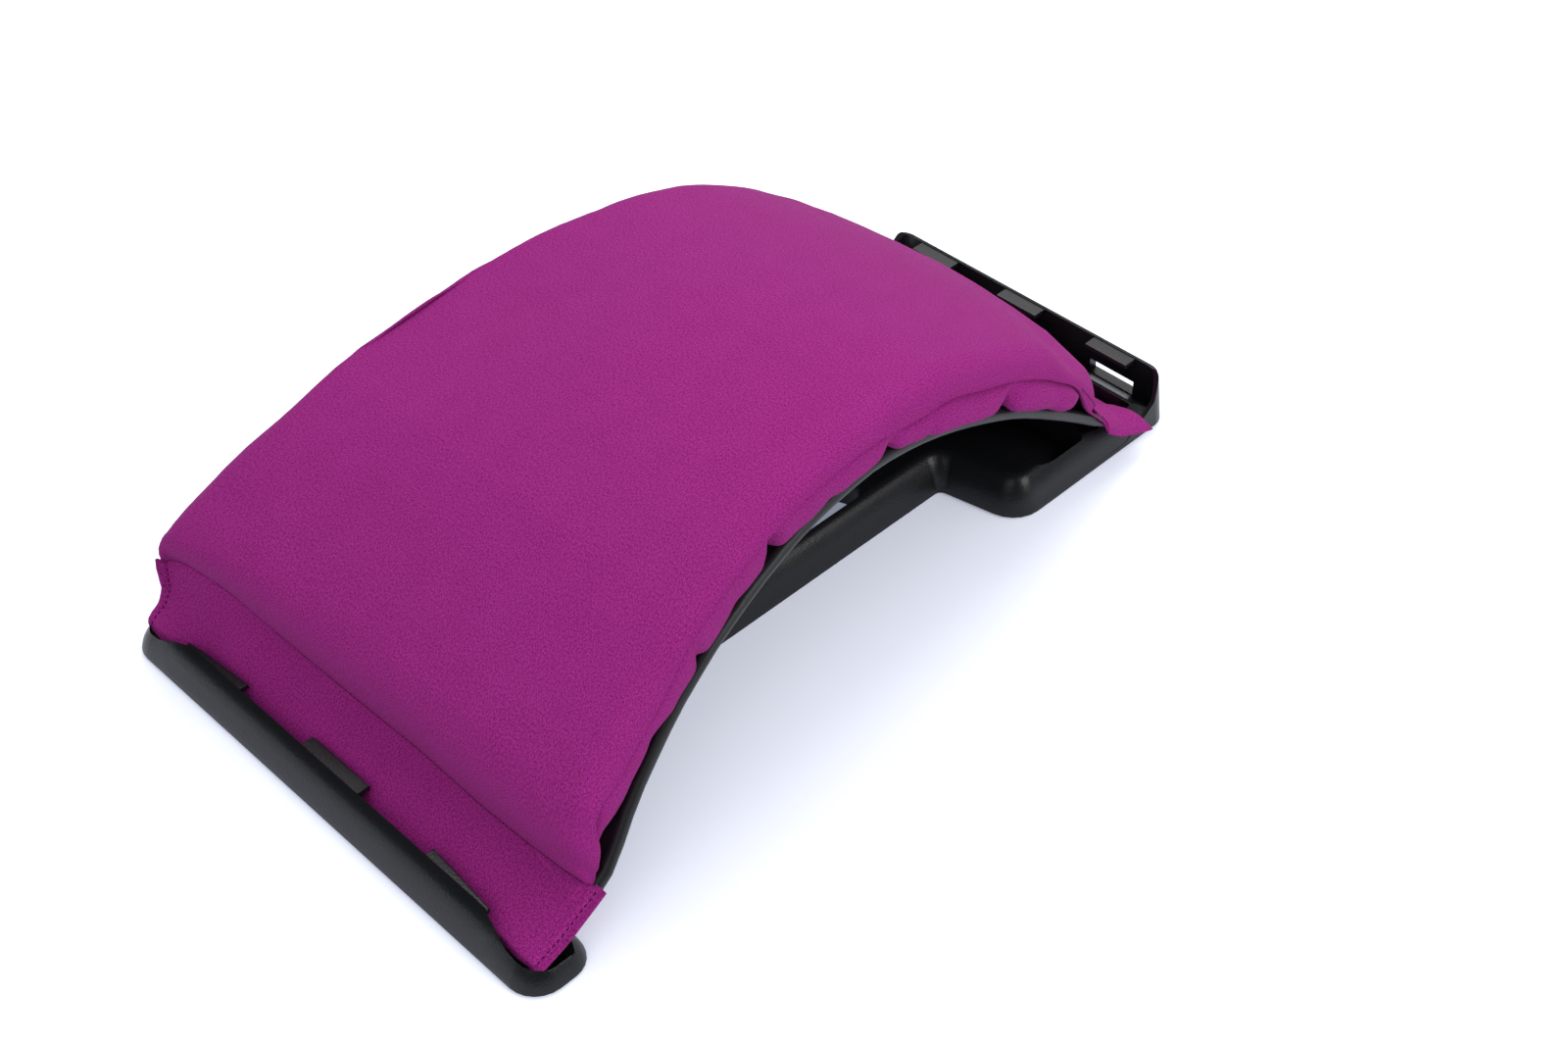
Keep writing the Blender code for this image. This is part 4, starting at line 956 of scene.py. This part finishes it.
# The outline across the pad gives how far out its side is at the row's height.
def cornerStitchAt(side, t):
    s, h = between(stitch["cornerRun"], t), between(stitch["cornerHeights"], t)
    line = columns[0 if side < 0 else -1]
    outline = overSide(s, float(np.interp(s, line[:, 0], line[:, 1])), side)[1][:8]
    out = float(np.interp(h, outline[:, 1], outline[:, 0])) + stitch["cornerOut"]
    return lay(s, side * out, h)


sewn("frontSeamStitches", lambda t: padWorld(0.0, t) - stitch["frontSunk"] * frontNormal(t), frontNormal, 160)
for side, word in ((-1, "Right"), (1, "Left")):
    sewn("side" + word + "Stitches", lambda t: sideStitchAt(side, t), lambda t: Vector((0, side, 0.3)), 160)
    sewn("pocket" + word + "Stitches", lambda t: pocketStitchAt(side, t), lambda t: Vector((-0.4, 0, 0.9)), 60)
for side, word in ((-1, "Right"), (1, "Left")):
    sewn("rearCorner" + word + "Stitches", lambda t: cornerStitchAt(side, t), lambda t: Vector((0, side, 0.2)), 40)
sewn("rearSeamStitches", lambda t: padWorld(1.0, between(stitch["rearRun"], t)), lambda t: Vector((0.6, 0, 0.8)), 120)
print("stitching made")


# Studio: pale floor, soft light, and the camera at the photograph's place

studio = {
    "camera": (-0.45374, -0.4929, 0.620), "forward": (0.52543862, 0.5228771, -0.67120325), "lens": 50.0,
    "aim": (0.0, 0.0, 0.04),      # where the lights point
    # The floor's own colour, and the duller one that it throws back on the object.
    "floorSize": 6.0, "floor": (0.90, 0.91, 0.94, 1.0), "floorBounce": (0.48, 0.49, 0.50, 1.0), "glossDimmed": 0.55,
    "floorRoughness": 0.85, "floorSpecular": 0.1, "floorGlow": (0.74, 0.79, 1.0, 1.0), "floorGlowStrength": 0.30,
    # The room's light on the object, in its reflections, and as the backdrop.
    "world": (0.90, 0.93, 1.0, 1.0), "ambient": 0.78, "mirrored": 0.05, "behind": 1.1,
    # Name, place, size, power, colour.
    "lights": (
        ("key", (0.75, 0.60, 1.70), 1.4, 15.0, (1.0, 0.985, 0.97)),
        ("back", (1.19, 0.90, 1.31), 1.1, 5.0, (1.0, 1.0, 1.0)),
        ("side", (0.5, -1.5, 0.9), 1.0, 11.0, (1.0, 1.0, 1.0)),
        ("fill", (-1.3, -0.6, 1.2), 1.4, 4.0, (1.0, 1.0, 1.0)),
    ),
}


def buildStudio():
    bm = bmesh.new()
    bmesh.ops.create_grid(bm, x_segments=1, y_segments=1, size=studio["floorSize"])
    material, tree, shader = newMaterial("studioFloor")
    seen = addNode(tree, "ShaderNodeLightPath")
    dimmed = mathNode(tree, "MULTIPLY_ADD", seen.outputs["Is Glossy Ray"], studio["glossDimmed"],
                      seen.outputs["Is Diffuse Ray"])
    tree.links.new(tintNode(tree, dimmed, studio["floor"], studio["floorBounce"]), shader.inputs["Base Color"])
    shader.inputs["Roughness"].default_value = studio["floorRoughness"]
    shader.inputs["Specular IOR Level"].default_value = studio["floorSpecular"]
    shader.inputs["Emission Color"].default_value = studio["floorGlow"]
    shader.inputs["Emission Strength"].default_value = studio["floorGlowStrength"]
    floor = addPiece("studioFloor", bm, material)
    for name, place, size, power, colour in studio["lights"]:
        light = bpy.data.lights.new(name, "AREA")
        light.shape = "DISK"
        light.size = size
        light.energy = power
        light.color = colour
        lamp = bpy.data.objects.new(name, light)
        lamp.location = place
        lamp.rotation_euler = (Vector(studio["aim"]) - Vector(place)).to_track_quat("-Z", "Y").to_euler()
        bpy.context.scene.collection.objects.link(lamp)
    world = bpy.data.worlds.new("studio")
    world.use_nodes = True
    tree = world.node_tree
    sky = tree.nodes["Background"]
    sky.inputs["Color"].default_value = studio["world"]
    path = addNode(tree, "ShaderNodeLightPath")
    lit = mathNode(tree, "MULTIPLY_ADD", path.outputs["Is Glossy Ray"], studio["mirrored"] - studio["ambient"],
                   studio["ambient"])
    lit = mathNode(tree, "MULTIPLY_ADD", path.outputs["Is Camera Ray"], studio["behind"] - studio["ambient"], lit)
    tree.links.new(lit, sky.inputs["Strength"])
    bpy.context.scene.world = world
    camera = bpy.data.objects.new("camera", bpy.data.cameras.new("camera"))
    camera.data.lens = studio["lens"]
    camera.location = studio["camera"]
    camera.rotation_euler = Vector(studio["forward"]).to_track_quat("-Z", "Y").to_euler()
    bpy.context.scene.collection.objects.link(camera)
    bpy.context.scene.camera = camera
    bpy.context.scene.view_settings.view_transform = "Standard"


buildStudio()
print("studio made")
